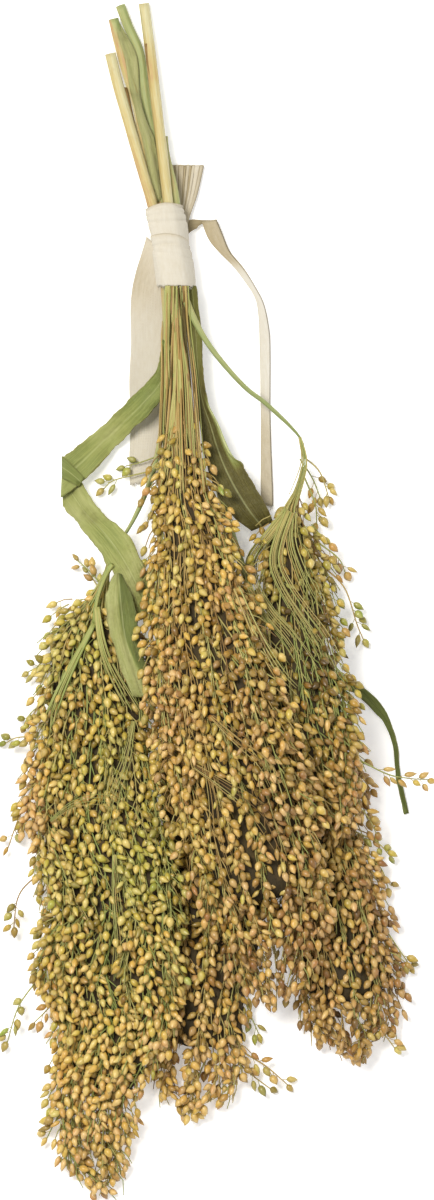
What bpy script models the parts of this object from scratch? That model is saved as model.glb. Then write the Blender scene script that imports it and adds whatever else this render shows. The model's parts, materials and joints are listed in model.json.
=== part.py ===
"""A bunch of five cut millet plants, tied with a strip of cloth and laid down on a flat surface.

Metres, +Z up. The cut ends point to +Y and the seed heads to -Y. Inside the script lengths are in millimetres, in a
drawing that looks straight down on the bunch, and MM turns them into metres at the end. Each thing is laid on what
already lies under it: first the cloth's tails, then the plants and their leaves, with the fullest head on top.
"""

import math

import bmesh
import bpy
import numpy as np
from mathutils import Matrix, Vector

MM = 0.001
MIDDLE = (0.7, -0.8)  # the drawing's point, in mm, that stands on the origin

CLEARANCE = 0.6  # between one plant and the next, where they lie on each other
STEEPEST = 0.55  # what climbs over something rises at most this much for each millimetre
RING_STEP = 5.0  # along a head, from one ring of grains to the next
GRAIN_HEIGHT = 2.9  # how far a grain stands out of the head
GRAIN_LEAN = 1.6  # how far a grain's tip hangs towards the end of the head
TRESS_DEPTH = 0.34  # the furrows between a head's tresses, as a share of its half thickness
SHORTEST_TRESS = 0.1  # how much earlier than the head some of its tresses end, as a share of its length
TIP_SIDES = 6
LEAF_THICKNESS = 0.7
CLOTH_THICKNESS = 1.0
TOUCHING_GAP = 0.3

# Each plant from its cut end to the end of its head: across, along, height, radius. A height of 0 rests on the pile.
TIE_TOP_Y = 142.6
TIE_END_Y = 111.8
PLANTS = {
    "back": {
        "culm": [
            (-34.9, 214.4, 2.5, 1.9), (-32.0, 206.6, 2.7, 1.9), (-28.1, 197.6, 3.2, 1.9), (-26.6, 186.8, 3.9, 1.9),
            (-25.2, 176.0, 4.7, 1.9), (-23.0, 165.2, 5.4, 1.9), (-21.2, 154.4, 6.2, 1.9), (-19.4, 142.6, 7.0, 1.9),
            (-17.0, 127.2, 7.0, 1.9), (-14.4, 111.8, 7.0, 1.8), (-13.3, 93.2, 6.6, 1.6), (-9.7, 64.4, 5.0, 1.4),
            (-5.0, 35.6, 4.0, 1.3),
        ],
        "head": [
            (-4.3, 27.0, 3), (-2.2, 6.0, 12), (-0.7, -18.0, 18), (1.0, -50.0, 19), (1.0, -85.0, 18),
            (-1.0, -118.0, 16.5), (-4.0, -142.0, 14.5), (-5.0, -156.0, 15), (-3.5, -167.0, 18), (-2.5, -176.0, 17),
            (-3.0, -182.0, 9),
        ],
        "depth": 10.0, "sides": 24, "tresses": 6,
        "tips": [(-8.0, -150.0, -14.0, -182.0), (8.0, -152.0, 21.0, -173.0)],
    },
    "lower": {
        "culm": [
            (-16.9, 167.0, 7.5, 1.8), (-16.2, 156.2, 9.1, 1.9), (-15.1, 142.6, 10.8, 1.9), (-13.0, 127.2, 10.8, 1.9),
            (-11.0, 111.8, 10.8, 1.8), (-8.9, 93.2, 10.6, 1.6), (-6.0, 71.6, 10.6, 1.5), (1.8, 35.6, 11.0, 1.4),
            (11.9, 3.2, 0, 1.3), (18.4, -14.8, 0, 1.3),
        ],
        "head": [
            (19.4, -17.5, 3), (27.0, -40.0, 14), (37.0, -69.0, 19.5), (42.0, -98.0, 21.5), (44.0, -126.0, 23.5),
            (44.5, -146.0, 23), (46.5, -158.0, 19), (47.5, -166.0, 10),
        ],
        "depth": 11.0, "sides": 24, "tresses": 6,
        "tips": [(34.0, -130.0, 30.0, -161.0), (58.0, -122.0, 67.5, -152.0)],
    },
    "right": {
        "culm": [
            (-26.4, 215.2, 2.4, 1.9), (-24.1, 197.6, 5.5, 1.9), (-22.0, 179.6, 8.6, 1.9), (-19.8, 161.6, 11.7, 1.9),
            (-17.6, 142.6, 15.0, 1.9), (-15.4, 127.2, 15.2, 1.9), (-12.6, 111.8, 15.0, 1.7), (-6.6, 97.6, 14.4, 1.4),
            (0.5, 87.0, 13.8, 1.3), (10.1, 76.3, 12.8, 1.15), (18.4, 69.8, 11.8, 1.1), (29.9, 58.3, 9.5, 1.0),
            (31.7, 50.8, 8.0, 0.95),
        ],
        "head": [
            (31.3, 47.5, 2), (29.3, 39.5, 5), (26.5, 30.0, 9), (27.0, 12.0, 16.5), (29.5, -8.0, 18),
            (34.0, -33.0, 19), (40.0, -58.0, 16), (46.0, -80.0, 8),
        ],
        "depth": 8.5, "sides": 18, "tresses": 5,
        "tips": [(30.0, 0.0, 49.0, -17.0), (42.0, -50.0, 56.0, -82.0)],
    },
    "left": {
        "culm": [
            (-37.4, 209.5, 4.6, 1.9), (-34.6, 197.6, 5.8, 1.9), (-31.0, 185.0, 7.0, 1.9), (-28.4, 176.0, 8.0, 1.9),
            (-25.6, 161.6, 9.1, 1.9), (-23.0, 150.8, 10.1, 1.9), (-20.5, 142.6, 10.8, 1.9), (-19.5, 127.2, 10.8, 1.9),
            (-18.6, 111.8, 10.8, 1.8), (-18.3, 93.2, 10.8, 1.6), (-19.5, 64.4, 10.8, 1.4), (-23.5, 44.7, 10.8, 1.4),
            (-29.5, 29.8, 11.0, 1.3), (-36.9, 17.4, 11.5, 1.3),
        ],
        "head": [
            (-38.5, 14.3, 3), (-41.5, 3.0, 9), (-44.5, -10.0, 16), (-45.5, -25.0, 21.5), (-46.0, -45.0, 26.5),
            (-46.0, -65.0, 29.5), (-44.5, -90.0, 31.5), (-41.5, -115.0, 31), (-38.5, -140.0, 28.5),
            (-39.5, -163.0, 22.5), (-42.5, -182.0, 18), (-45.5, -196.0, 12.5), (-42.5, -208.0, 8), (-40.5, -214.5, 3),
        ],
        "depth": 12.0, "sides": 30, "tresses": 8,
        "tips": [(-58.0, -150.0, -63.0, -178.0), (-30.0, -165.0, -22.0, -186.0)],
    },
    "front": {
        "culm": [
            (-38.5, 196.8, 8.4, 1.9), (-35.6, 185.0, 9.6, 1.9), (-32.0, 172.4, 11.0, 1.9), (-28.4, 159.8, 12.9, 1.9),
            (-25.6, 150.1, 14.2, 1.9), (-23.4, 142.6, 15.2, 1.9), (-19.9, 127.2, 15.4, 1.9), (-16.5, 111.8, 15.2, 1.8),
            (-14.0, 96.8, 15.0, 1.6), (-11.5, 80.6, 15.0, 1.4),
        ],
        "head": [
            (-11.0, 77.2, 2), (-9.4, 52.0, 9), (-6.1, 14.0, 18), (-1.8, -22.0, 23), (5.4, -58.0, 26),
            (13.7, -90.4, 27), (18.4, -115.6, 22), (20.9, -139.0, 9),
        ],
        "depth": 11.5, "sides": 30, "tresses": 7,
        "tips": [(4.0, -105.0, 2.0, -139.0), (28.0, -95.0, 37.0, -128.0)],
    },
}

# Where the cloth strip runs, as pairs of edge points across it: left x, left y, right x, right y, height.
STRIP_TAIL_LEFT = [
    (-25.5, 131.0, -15.5, 122.0, 2.2), (-29.5, 118.0, -17.5, 112.0, 1.5), (-31.0, 106.0, -17.2, 103.0, 0.8),
    (-31.4, 88.0, -17.2, 87.0, 0.8), (-31.5, 66.0, -17.5, 66.0, 0.8), (-31.5, 41.0, -20.5, 43.5, 0.8),
]
STRIP_TAIL_RIGHT = [
    (-15.5, 124.5, -12.0, 130.5, 2.6), (-9.4, 131.0, -9.4, 137.0, 3.4), (-4.6, 132.5, -3.2, 137.0, 3.6),
    (-1.0, 128.0, 2.6, 131.5, 2.6), (3.4, 120.5, 7.4, 124.0, 1.6), (9.4, 109.5, 13.2, 112.5, 1.1),
    (13.4, 97.5, 17.6, 99.0, 1.1), (16.0, 79.0, 20.2, 79.5, 1.1), (16.4, 58.0, 20.0, 58.0, 1.1),
    (15.8, 39.0, 19.4, 38.6, 1.1),
]
STRIP_LOOP = [
    (-16.0, 128.0, -11.0, 128.5, 2.6), (-15.6, 137.0, -10.4, 137.0, 3.0), (-16.0, 147.0, -7.4, 146.0, 2.6),
    (-16.4, 156.8, -4.9, 156.8, 2.2),
]

# Leaves, as pairs of edge points across the blade: left x, left y, right x, right y, height (0 rests on the pile).
LEAF_FOLDED = [
    (-19.6, 93.5, -17.0, 91.5, 15.6), (-21.8, 82.5, -18.0, 76.0, 16.8), (-29.5, 74.0, -23.6, 67.4, 0),
    (-38.2, 65.6, -31.4, 59.8, 0), (-46.6, 58.2, -38.6, 52.8, 0), (-52.4, 53.4, -46.6, 44.0, 0),
    (-55.0, 51.2, -55.8, 36.6, 0),
]
LEAF_FOLDED_BACK = [
    (-50.0, 43.8, -55.6, 33.6, 0), (-43.4, 33.6, -50.2, 26.8, 0), (-36.8, 27.6, -43.4, 18.6, 0),
    (-30.4, 19.8, -37.6, 9.6, 0), (-25.0, 8.8, -31.4, -1.2, 0), (-21.5, -1.0, -27.5, -8.0, 0),
]
LEAF_HANGING = [
    (-38.6, 8.0, -30.4, 6.4, 0), (-40.0, 0.0, -30.6, -4.6, 0), (-38.4, -13.0, -28.8, -15.0, 0),
    (-34.4, -25.4, -25.0, -26.4, 0), (-30.4, -35.2, -22.8, -35.4, 0),
]
LEAF_BROAD = [
    (-8.6, 86.0, -5.4, 86.0, 13.6), (-8.0, 76.5, -4.3, 76.0, 13.6), (-7.2, 69.8, -2.5, 70.0, 13.0),
    (-6.1, 61.6, 1.4, 63.4, 0), (-4.7, 53.0, 5.0, 55.6, 0), (-2.6, 44.4, 9.2, 48.4, 0), (1.0, 36.4, 13.8, 40.6, 0),
    (6.0, 29.6, 17.8, 33.4, 0), (12.4, 24.4, 20.2, 27.6, 0),
]
LEAF_TIP = [
    (46.0, -28.0, 46.4, -31.5, 0), (52.4, -31.6, 51.6, -35.6, 0), (58.2, -36.6, 56.4, -40.4, 0),
    (62.4, -43.4, 60.6, -45.4, 0), (65.4, -53.0, 63.8, -53.4, 0), (66.4, -64.0, 64.6, -64.2, 0),
    (69.4, -77.4, 67.6, -78.0, 0),
]
SHEATH_ROWS = [181.0, 176.0, 161.6, 150.8, 145.0]  # along the left culm, whose right side its leaf sheath still wraps

# Loose sprigs that stand out of a head: the head, then where the sprig leaves it and where it ends.
SPRIGS = [
    ("right", (30.4, 47.0), (39.2, 34.0)), ("right", (31.0, 46.0), (35.2, 24.0)), ("right", (38.0, 6.0), (52.5, -14.5)),
    ("right", (46.0, -55.0), (77.0, -65.0)), ("right", (48.0, -58.0), (66.0, -82.0)),
    ("front", (-15.0, 52.0), (-35.0, 45.0)), ("front", (-18.0, 46.0), (-41.0, 37.0)),
    ("left", (-48.0, -2.0), (-53.0, 10.5)), ("left", (-60.0, -30.0), (-69.0, -26.0)),
    ("left", (-66.0, -50.0), (-77.0, -53.0)), ("left", (-66.0, -66.0), (-77.4, -92.0)),
    ("left", (-64.0, -110.0), (-76.0, -128.0)), ("left", (-62.0, -135.0), (-76.0, -161.0)),
    ("left", (-52.0, -180.0), (-62.0, -197.0)), ("left", (-42.0, -196.0), (-34.0, -213.0)),
    ("back", (20.0, -172.0), (26.4, -177.5)), ("back", (-6.0, -164.0), (-9.0, -183.0)),
    ("lower", (62.0, -76.0), (75.0, -96.0)), ("lower", (66.0, -120.0), (74.0, -134.0)),
    ("lower", (56.0, -155.0), (63.0, -168.0)),
]


def new_scene():
    """An empty scene with a collection for the bunch and one for what is only used to build it."""
    for obj in list(bpy.data.objects):
        bpy.data.objects.remove(obj)
    bunch = bpy.data.collections.new("millet_bunch")
    helpers = bpy.data.collections.new("helpers")
    for collection in (bunch, helpers):
        bpy.context.scene.collection.children.link(collection)
    return bunch, helpers


def material(name, colour, roughness):
    """A plain dry finish."""
    mat = bpy.data.materials.new(name)
    mat.use_nodes = True
    shader = mat.node_tree.nodes["Principled BSDF"]
    shader.inputs["Base Color"].default_value = (*colour, 1)
    shader.inputs["Roughness"].default_value = roughness
    mat.diffuse_color = (*colour, 1)
    return mat


def smooth_path(points, step):
    """A smooth curve through rows of numbers whose first two are a place, read off every `step` millimetres."""
    points = np.array(points, float)
    padded = np.vstack([2 * points[0] - points[1], points, 2 * points[-1] - points[-2]])
    fine = []
    for before, start, end, after in zip(padded, padded[1:], padded[2:], padded[3:]):
        for t in np.linspace(0, 1, 24, endpoint=False):
            fine.append(
                0.5 * (2 * start + (end - before) * t + (2 * before - 5 * start + 4 * end - after) * t**2
                       + (3 * start - before - 3 * end + after) * t**3)
            )
    fine = np.array(fine + [points[-1]])
    along = distance_along(fine)
    count = max(3, round(along[-1] / step) + 1)
    places = np.linspace(0, along[-1], count)
    return np.column_stack([np.interp(places, along, column) for column in fine.T])


def distance_along(points):
    steps = np.linalg.norm(np.diff(points[:, :2], axis=0), axis=1)
    return np.concatenate([[0], np.cumsum(steps)])


def smoothstep(x):
    x = np.clip(x, 0, 1)
    return x * x * (3 - 2 * x)


class Pile:
    """What already lies there, kept as balls, so that the next piece can be laid on top of it."""

    def __init__(self):
        self.balls = np.empty((0, 4))  # x, y, z, radius
        self.owners = np.empty(0, "U20")

    def add(self, points, radii, owner):
        radii = np.broadcast_to(radii, len(points))
        self.balls = np.vstack([self.balls, np.column_stack([points[:, :3], radii])])
        self.owners = np.concatenate([self.owners, np.full(len(points), owner, "U20")])

    def height(self, xy, radii, owner):
        """The least height of balls of these radii at these places, clear of the floor and of others' balls."""
        radii = np.broadcast_to(radii, len(xy))
        balls = self.balls[self.owners != owner]
        if not len(balls):
            return radii.copy()
        reach = radii[:, None] + balls[:, 3] + CLEARANCE
        apart = (xy[:, None, 0] - balls[:, 0]) ** 2 + (xy[:, None, 1] - balls[:, 1]) ** 2
        lift = balls[:, 2] + np.sqrt(np.maximum(reach**2 - apart, 0))
        return np.maximum(radii, np.where(apart < reach**2, lift, 0).max(axis=1))

    def free(self, point, radius, owner):
        """Whether a ball here is clear of every other owner's."""
        others = self.balls[self.owners != owner]
        apart = np.linalg.norm(others[:, :3] - point, axis=1)
        return point[2] >= radius and bool((apart > others[:, 3] + radius + CLEARANCE).all())


def limp(heights, along):
    """Heights raised so that no stretch is steeper than a stalk allows, with the dips between them eased."""
    run = np.abs(along[:, None] - along)
    heights = (heights - STEEPEST * run).max(axis=1)
    for _ in range(4):
        eased = heights.copy()
        eased[1:-1] = (heights[:-2] + heights[1:-1] + heights[2:]) / 3
        heights = np.maximum(heights, eased)
    return heights


def tube(name, points, radii, sides_setting, helpers):
    """A round stalk through these points, as a mesh with its end caps still loose, in millimetres."""
    curve = bpy.data.curves.new(name, "CURVE")
    curve.dimensions = "3D"
    curve.bevel_depth = 1
    curve.bevel_resolution = sides_setting
    curve.use_fill_caps = True
    spline = curve.splines.new("POLY")
    spline.points.add(len(points) - 1)
    for point, place, radius in zip(spline.points, points, radii):
        point.co = (*place, 1)
        point.radius = radius
    guide = bpy.data.objects.new(name, curve)
    helpers.objects.link(guide)
    bpy.context.view_layer.update()
    mesh = bpy.data.meshes.new_from_object(guide.evaluated_get(bpy.context.evaluated_depsgraph_get()))
    bpy.data.objects.remove(guide)
    mesh.name = name
    return mesh


def set_rings(mesh, sides, rings):
    """Moves the points of a stalk with this many sides, caps too, to the given places, and none below the floor."""
    rings = rings.copy()
    rings[:, :, 2] = np.maximum(rings[:, :, 2], 0)
    places = np.concatenate([rings[-1], rings[0], rings.reshape(-1, 3)])
    mesh.vertices.foreach_set("co", places.ravel())


def is_grain(ring, side):
    """Every third point of the net round a stalk, so that no two grains share an edge."""
    return (ring - side) % 3 == 0


def close(mesh):
    """Welds the loose end caps and splits the faces the same way all along."""
    bm = bmesh.new()
    bm.from_mesh(mesh)
    bmesh.ops.remove_doubles(bm, verts=bm.verts, dist=1e-4)
    bmesh.ops.triangulate(bm, faces=bm.faces, quad_method="FIXED")
    bmesh.ops.recalc_face_normals(bm, faces=bm.faces)
    bm.to_mesh(mesh)
    bm.free()
    return mesh


def spikelet(place, way, length, width):
    """A pointed seed husk, hung from `place` along `way`."""
    bm = bmesh.new()
    bmesh.ops.create_uvsphere(bm, u_segments=4, v_segments=2, radius=0.5)
    turn = Vector((0, 0, 1)).rotation_difference(Vector(way)).to_matrix().to_4x4()
    shape = Matrix.Diagonal((width, width, length, 1))
    centre = Matrix.Translation(Vector(place) + Vector(way) * length * 0.42)
    bmesh.ops.transform(bm, matrix=centre @ turn @ shape, verts=bm.verts)
    mesh = bpy.data.meshes.new("spikelet")
    bm.to_mesh(mesh)
    bm.free()
    return mesh


def join(name, meshes, collection, helpers, mat):
    """One solid from meshes in millimetres that run into each other, without inner voids or loose scraps."""
    parts = bpy.data.collections.new(name + "_parts")
    helpers.children.link(parts)
    for mesh in meshes[1:]:
        parts.objects.link(bpy.data.objects.new(name + "_part", mesh))
    obj = bpy.data.objects.new(name, meshes[0])
    collection.objects.link(obj)
    if len(meshes) > 1:
        union = obj.modifiers.new("join", "BOOLEAN")
        union.operation = "UNION"
        union.operand_type = "COLLECTION"
        union.collection = parts
        union.solver = "MANIFOLD"
        bpy.context.view_layer.update()
        joined = bpy.data.meshes.new_from_object(obj.evaluated_get(bpy.context.evaluated_depsgraph_get()))
        obj.modifiers.clear()
        obj.data = joined
        for part in list(parts.objects):
            bpy.data.objects.remove(part)
    bpy.data.collections.remove(parts)
    keep_largest(obj.data)
    obj.data.name = name
    obj.data.materials.clear()
    obj.data.materials.append(mat)
    return obj


def keep_largest(mesh):
    """Drops every separate shell but the one with the most faces, and sets the mesh in metres about the origin."""
    bm = bmesh.new()
    bm.from_mesh(mesh)
    unseen = set(bm.verts)
    shells = []
    while unseen:
        shell, edge_of_shell = set(), {next(iter(unseen))}
        while edge_of_shell:
            shell |= edge_of_shell
            edge_of_shell = {
                edge.other_vert(vert) for vert in edge_of_shell for edge in vert.link_edges
            } - shell
        unseen -= shell
        shells.append(shell)
    shells.sort(key=len)
    for scrap in shells[:-1]:
        bmesh.ops.delete(bm, geom=list(scrap), context="VERTS")
    bmesh.ops.translate(bm, vec=(-MIDDLE[0], -MIDDLE[1], 0), verts=bm.verts)
    bmesh.ops.scale(bm, vec=(MM, MM, MM), verts=bm.verts)
    bm.to_mesh(mesh)
    bm.free()


def lay_culm(plant, pile, name):
    """The line of a culm, held as given through the cloth and laid on the pile beyond it: rows of x, y, z, radius."""
    line = smooth_path(plant["culm"], 11.0)
    beyond_tie = line[:, 1] < TIE_END_Y - 8
    rest = pile.height(line[:, :2], line[:, 3], name)
    heights = np.maximum(line[:, 2], np.where(beyond_tie, rest, 0))
    lifted = limp(np.where(beyond_tie, heights, 0), distance_along(line))
    line[:, 2] = np.where(beyond_tie, np.maximum(lifted, heights), heights)
    dense = smooth_path(line, 1.5)
    pile.add(dense, dense[:, 3], name)
    return line


def lay_head(plant, start, pile, name):
    """A head draped over the pile: its middle line, half widths, half thicknesses and the height across it."""
    line = smooth_path(plant["head"], RING_STEP)
    along = distance_along(line)
    ways = np.gradient(line[:, :2], axis=0)
    ways /= np.linalg.norm(ways, axis=1)[:, None]
    across = np.column_stack([ways[:, 1], -ways[:, 0]])
    wide = line[:, 2]
    thick = np.minimum(0.92 * wide, plant["depth"] * (wide / wide.max()) ** 0.5)
    shares = np.linspace(-1, 1, 13)
    places = line[:, None, :2] + across[:, None] * (wide[:, None] * shares)[:, :, None]
    radii = np.maximum(0.7, thick[:, None] * np.sqrt(1 - shares**2))
    heights = pile.height(places.reshape(-1, 2), radii.ravel(), name).reshape(radii.shape)
    heights[0] = np.maximum(heights[0], start)
    for _ in range(2):
        for column in range(len(shares)):
            heights[:, column] = limp(heights[:, column], along)
        for row in range(len(line)):
            heights[row] = limp(heights[row], wide[row] * shares)
    grid = np.dstack([places, heights])
    pile.add(grid.reshape(-1, 3), radii.ravel(), name)
    return line, across, thick, shares, heights


def head_rings(plant, laid, rng):
    """The head's rings: furrows between its tresses, and grains that stand out and hang towards its end."""
    line, across, thick, shares, heights = laid
    sides = plant["sides"]
    ways = np.column_stack([-across[:, 1], across[:, 0]])
    shorter = rng.uniform(0, SHORTEST_TRESS, plant["tresses"]) * distance_along(line)[-1]
    ending = smoothstep((np.linspace(0, 1, len(line)) - 0.5) / 0.5)
    rings = np.empty((len(line), sides, 3))
    for ring, (x, y, wide) in enumerate(line):
        for side in range(sides):
            turn = 2 * math.pi * side / sides
            tress = plant["tresses"] * turn / (2 * math.pi)
            ridge = math.sin(math.pi * tress + 0.5 * math.sin(ring * RING_STEP / 26)) ** 2
            depth = thick[ring] * TRESS_DEPTH * (1 - ridge) ** 2
            grain = is_grain(ring, side) and 1 < ring < len(line) - 1
            if grain:
                depth += rng.uniform(0, 0.9)
            elif ring > 1:
                depth += min(GRAIN_HEIGHT, 0.42 * thick[ring])
            u = math.cos(turn) * (1 - depth / wide)
            up = math.sin(turn) * (thick[ring] - depth)
            lean = GRAIN_LEAN * rng.uniform(0.4, 1.5) if grain else 0
            lean -= shorter[int(tress)] * ending[ring] * ridge
            place = np.array([x, y]) + across[ring] * wide * u + ways[ring] * lean
            rings[ring, side] = (*place, np.interp(u, shares, heights[ring]) + up)
    return rings


def tip_rings(root, end, pile, name, rng):
    """A single tress that hangs out of a head, from the grid of the head near `root` to `end`, on the pile."""
    own = pile.balls[pile.owners == name]
    nearest = own[np.argmin((own[:, 0] - root[0]) ** 2 + (own[:, 1] - root[1]) ** 2)]
    middle = (np.array(root) * 0.45 + np.array(end) * 0.55) + (1.5, 0)
    line = smooth_path([(*root, 0), (*middle, 0), (*end, 0)], RING_STEP)
    share = np.linspace(0, 1, len(line))
    radii = 4.6 - 2.2 * smoothstep((share - 0.4) / 0.6)
    rest = pile.height(line[:, :2], radii, name)
    line[:, 2] = limp(np.maximum(rest, nearest[2] * (1 - smoothstep(share / 0.8))), distance_along(line))
    pile.add(line, radii, name)
    ways = np.gradient(line, axis=0)
    ways /= np.linalg.norm(ways, axis=1)[:, None]
    across = np.cross(ways, (0, 0, 1))
    up = np.cross(across, ways)
    rings = np.empty((len(line), TIP_SIDES, 3))
    for ring in range(len(line)):
        for side in range(TIP_SIDES):
            turn = 2 * math.pi * side / TIP_SIDES
            grain = is_grain(ring, side) and 0 < ring < len(line) - 1
            reach = radii[ring] * (rng.uniform(0.88, 1) if grain else 0.5)
            lean = GRAIN_LEAN * rng.uniform(0.6, 1.3) if grain else 0
            rings[ring, side] = line[ring] + ways[ring] * lean
            rings[ring, side] += reach * (across[ring] * math.cos(turn) + up[ring] * math.sin(turn))
    return line, rings


def ringed(name, line, sides, rings, helpers):
    """A closed solid whose rings are at the given places."""
    mesh = tube(name, line[:, :3], np.ones(len(line)), (sides - 4) // 2, helpers)
    set_rings(mesh, sides, rings)
    return close(mesh)


def sprig_meshes(start, end, pile, name, rng, helpers):
    """A thin stalk with a few husks that stands out of a head, from the branch that lies nearest to its start."""
    own = pile.balls[pile.owners == name]
    nearest = own[np.argmin((own[:, 0] - start[0]) ** 2 + (own[:, 1] - start[1]) ** 2)]
    root = nearest[:3]
    tip = np.array([*end, max(3.0, nearest[2] * 0.6)])
    middle = (root + tip) / 2 + (0, 0, 0.1 * np.linalg.norm(tip - root))
    points = smooth_path([root, middle, tip], np.linalg.norm(tip - root) / 5)
    meshes = [close(tube(name + "_sprig", points, np.linspace(0.75, 0.55, len(points)), 0, helpers))]
    way = Vector(tip - points[-3]).normalized()
    for turn, place in enumerate(points[2:]):
        last = turn == len(points) - 3
        lean = Vector((0, 0, 0)) if last else Vector((way.y, -way.x, 0.25)) * (1.1 if turn % 2 else -1.1)
        out = (way + lean).normalized()
        husk_end = np.array(Vector(place) + out * 5)
        if pile.free(husk_end, 1.8, name):
            meshes.append(spikelet(place, out, 5.6, 3.9))
    return meshes


def thicken(mesh, thickness):
    """The open surface as a closed plate, both faces split alike."""
    bm = bmesh.new()
    bm.from_mesh(mesh)
    bmesh.ops.remove_doubles(bm, verts=bm.verts, dist=1e-4)
    bmesh.ops.triangulate(bm, faces=bm.faces, quad_method="FIXED")
    bmesh.ops.recalc_face_normals(bm, faces=bm.faces)
    bm.to_mesh(mesh)
    bm.free()
    sheet = bpy.data.objects.new("sheet", mesh)
    bpy.context.scene.collection.objects.link(sheet)
    solid = sheet.modifiers.new("thickness", "SOLIDIFY")
    solid.thickness = thickness
    solid.offset = 0
    bpy.context.view_layer.update()
    plate = bpy.data.meshes.new_from_object(sheet.evaluated_get(bpy.context.evaluated_depsgraph_get()))
    bpy.data.objects.remove(sheet)
    return plate


def surface(places):
    """An open surface through a grid of places, rows by columns."""
    rows, columns = places.shape[:2]
    bm = bmesh.new()
    bmesh.ops.create_grid(bm, x_segments=columns - 1, y_segments=rows - 1, size=1)
    mesh = bpy.data.meshes.new("surface")
    bm.to_mesh(mesh)
    bm.free()
    mesh.vertices.foreach_set("co", places.reshape(-1))
    return mesh


def strip_rows(edges, step):
    """Pairs of edge points read off smoothly along a strip: left x, left y, right x, right y, height."""
    edges = np.array(edges, float)
    middles = (edges[:, :2] + edges[:, 2:4]) / 2
    return smooth_path(np.column_stack([middles, edges]), step)[:, 2:]


def strip_grid(rows, channel, columns=3):
    """A grid of places across each row of a strip, its middle lower by `channel`."""
    shares = np.linspace(0, 1, columns)
    left = np.column_stack([rows[:, 0:2], rows[:, 4]])
    right = np.column_stack([rows[:, 2:4], rows[:, 4]])
    places = left[:, None] + (right - left)[:, None] * shares[None, :, None]
    places[:, :, 2] -= channel * np.sin(np.pi * shares)
    return places


def lay_strip(edges, pile, owner, thickness, channel, step):
    """A strip laid on the pile, as a grid of places. Its own points then lie there too."""
    finer = 4
    rows = strip_rows(edges, step / finer)
    grid = strip_grid(rows, 0, 8)
    ball = thickness / 2 + 0.2
    rest = pile.height(grid[:, :, :2].reshape(-1, 2), ball, owner).reshape(grid.shape[:2]).max(axis=1)
    rest = np.array([rest[max(0, row - finer) : row + finer + 1].max() for row in range(len(rows))])
    rows[:, 4] = limp(np.maximum(rows[:, 4], rest + channel), distance_along(rows))
    pile.add(strip_grid(rows, channel, 8).reshape(-1, 3), ball, owner)
    kept = np.unique(np.append(np.arange(0, len(rows), finer), len(rows) - 1))
    return strip_grid(rows[kept], channel)


def make_leaf(name, runs, pile, bunch, helpers, mat):
    """A blade laid on the pile. Where it is folded, the run that lies under comes first."""
    grids = []
    for number, edges in enumerate(runs):
        grids.insert(0, lay_strip(edges, pile, name + str(number), LEAF_THICKNESS, 0.5, 5.5))
    if len(grids) == 2:
        upper, under = grids
        crease = (upper[-1] + under[0]) / 2
        crease[:, :2] = upper[-1, :, :2] - (0.9, 0)
        under_start = upper[-1].copy()
        under_start[:, 2] = under[0, :, 2]
        grids = [upper, crease[None], under_start[None], under]
    plate = thicken(surface(np.vstack(grids)), LEAF_THICKNESS)
    join(name, [close(plate)], bunch, helpers, mat)


def culm_at(plant, y):
    """Where a culm passes this height of the drawing: x, z and radius."""
    line = smooth_path(plant["culm"], 3.0)[::-1]
    return [float(np.interp(y, line[:, 1], line[:, column])) for column in (0, 2, 3)]


def make_tie(pile, bunch, helpers, mat):
    """A strip of cloth: pulled tight round the culms, knotted behind them, with a loop and two tails."""
    directions = [(math.cos(a), math.sin(a)) for a in np.linspace(0, 2 * math.pi, 24, endpoint=False)]
    levels = np.linspace(TIE_TOP_Y, TIE_END_Y, 5)
    offset = TOUCHING_GAP + CLOTH_THICKNESS / 2
    rings = []
    for y in levels:
        culms = [culm_at(plant, y) for plant in PLANTS.values()]
        ring = []
        for dx, dz in directions:
            x, z, radius = max(culms, key=lambda culm: culm[0] * dx + culm[1] * dz + culm[2])
            ring.append((x + dx * (radius + offset), y, z + dz * (radius + offset)))
        rings.append(ring + ring[:1])
    band = close(thicken(surface(np.array(rings)), CLOTH_THICKNESS))
    bm = bmesh.new()
    bmesh.ops.create_uvsphere(bm, u_segments=12, v_segments=6, radius=1)
    bmesh.ops.scale(bm, vec=(6.0, 5.5, 2.15), verts=bm.verts)
    bmesh.ops.translate(bm, vec=(-14.0, 127.5, 2.4), verts=bm.verts)
    knot = bpy.data.meshes.new("knot")
    bm.to_mesh(knot)
    bm.free()
    pieces = [band, close(knot)]
    for edges, thickness, step in (
        (STRIP_TAIL_LEFT, CLOTH_THICKNESS, 12), (STRIP_TAIL_RIGHT, 1.8, 9), (STRIP_LOOP, 2.4, 10)
    ):
        grid = strip_grid(strip_rows(edges, step), 0)
        pile.add(strip_grid(strip_rows(edges, 3), 0, 6).reshape(-1, 3), thickness / 2, "cloth")
        pieces.append(close(thicken(surface(grid), thickness)))
    join("cloth_tie", pieces, bunch, helpers, mat)


def make_sheath(bunch, helpers, mat):
    """The leaf sheath that still wraps the upper right side of the left plant's culm."""
    places = []
    for y in SHEATH_ROWS:
        x, z, radius = culm_at(PLANTS["left"], y)
        reach = radius + TOUCHING_GAP + LEAF_THICKNESS / 2 + 0.05
        turns = np.radians(np.linspace(-20, 85, 5))
        places.append([(x + reach * math.cos(a), y, z + reach * math.sin(a)) for a in turns])
    plate = thicken(surface(np.array(places)), LEAF_THICKNESS)
    join("leaf_sheath", [close(plate)], bunch, helpers, mat)


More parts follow.
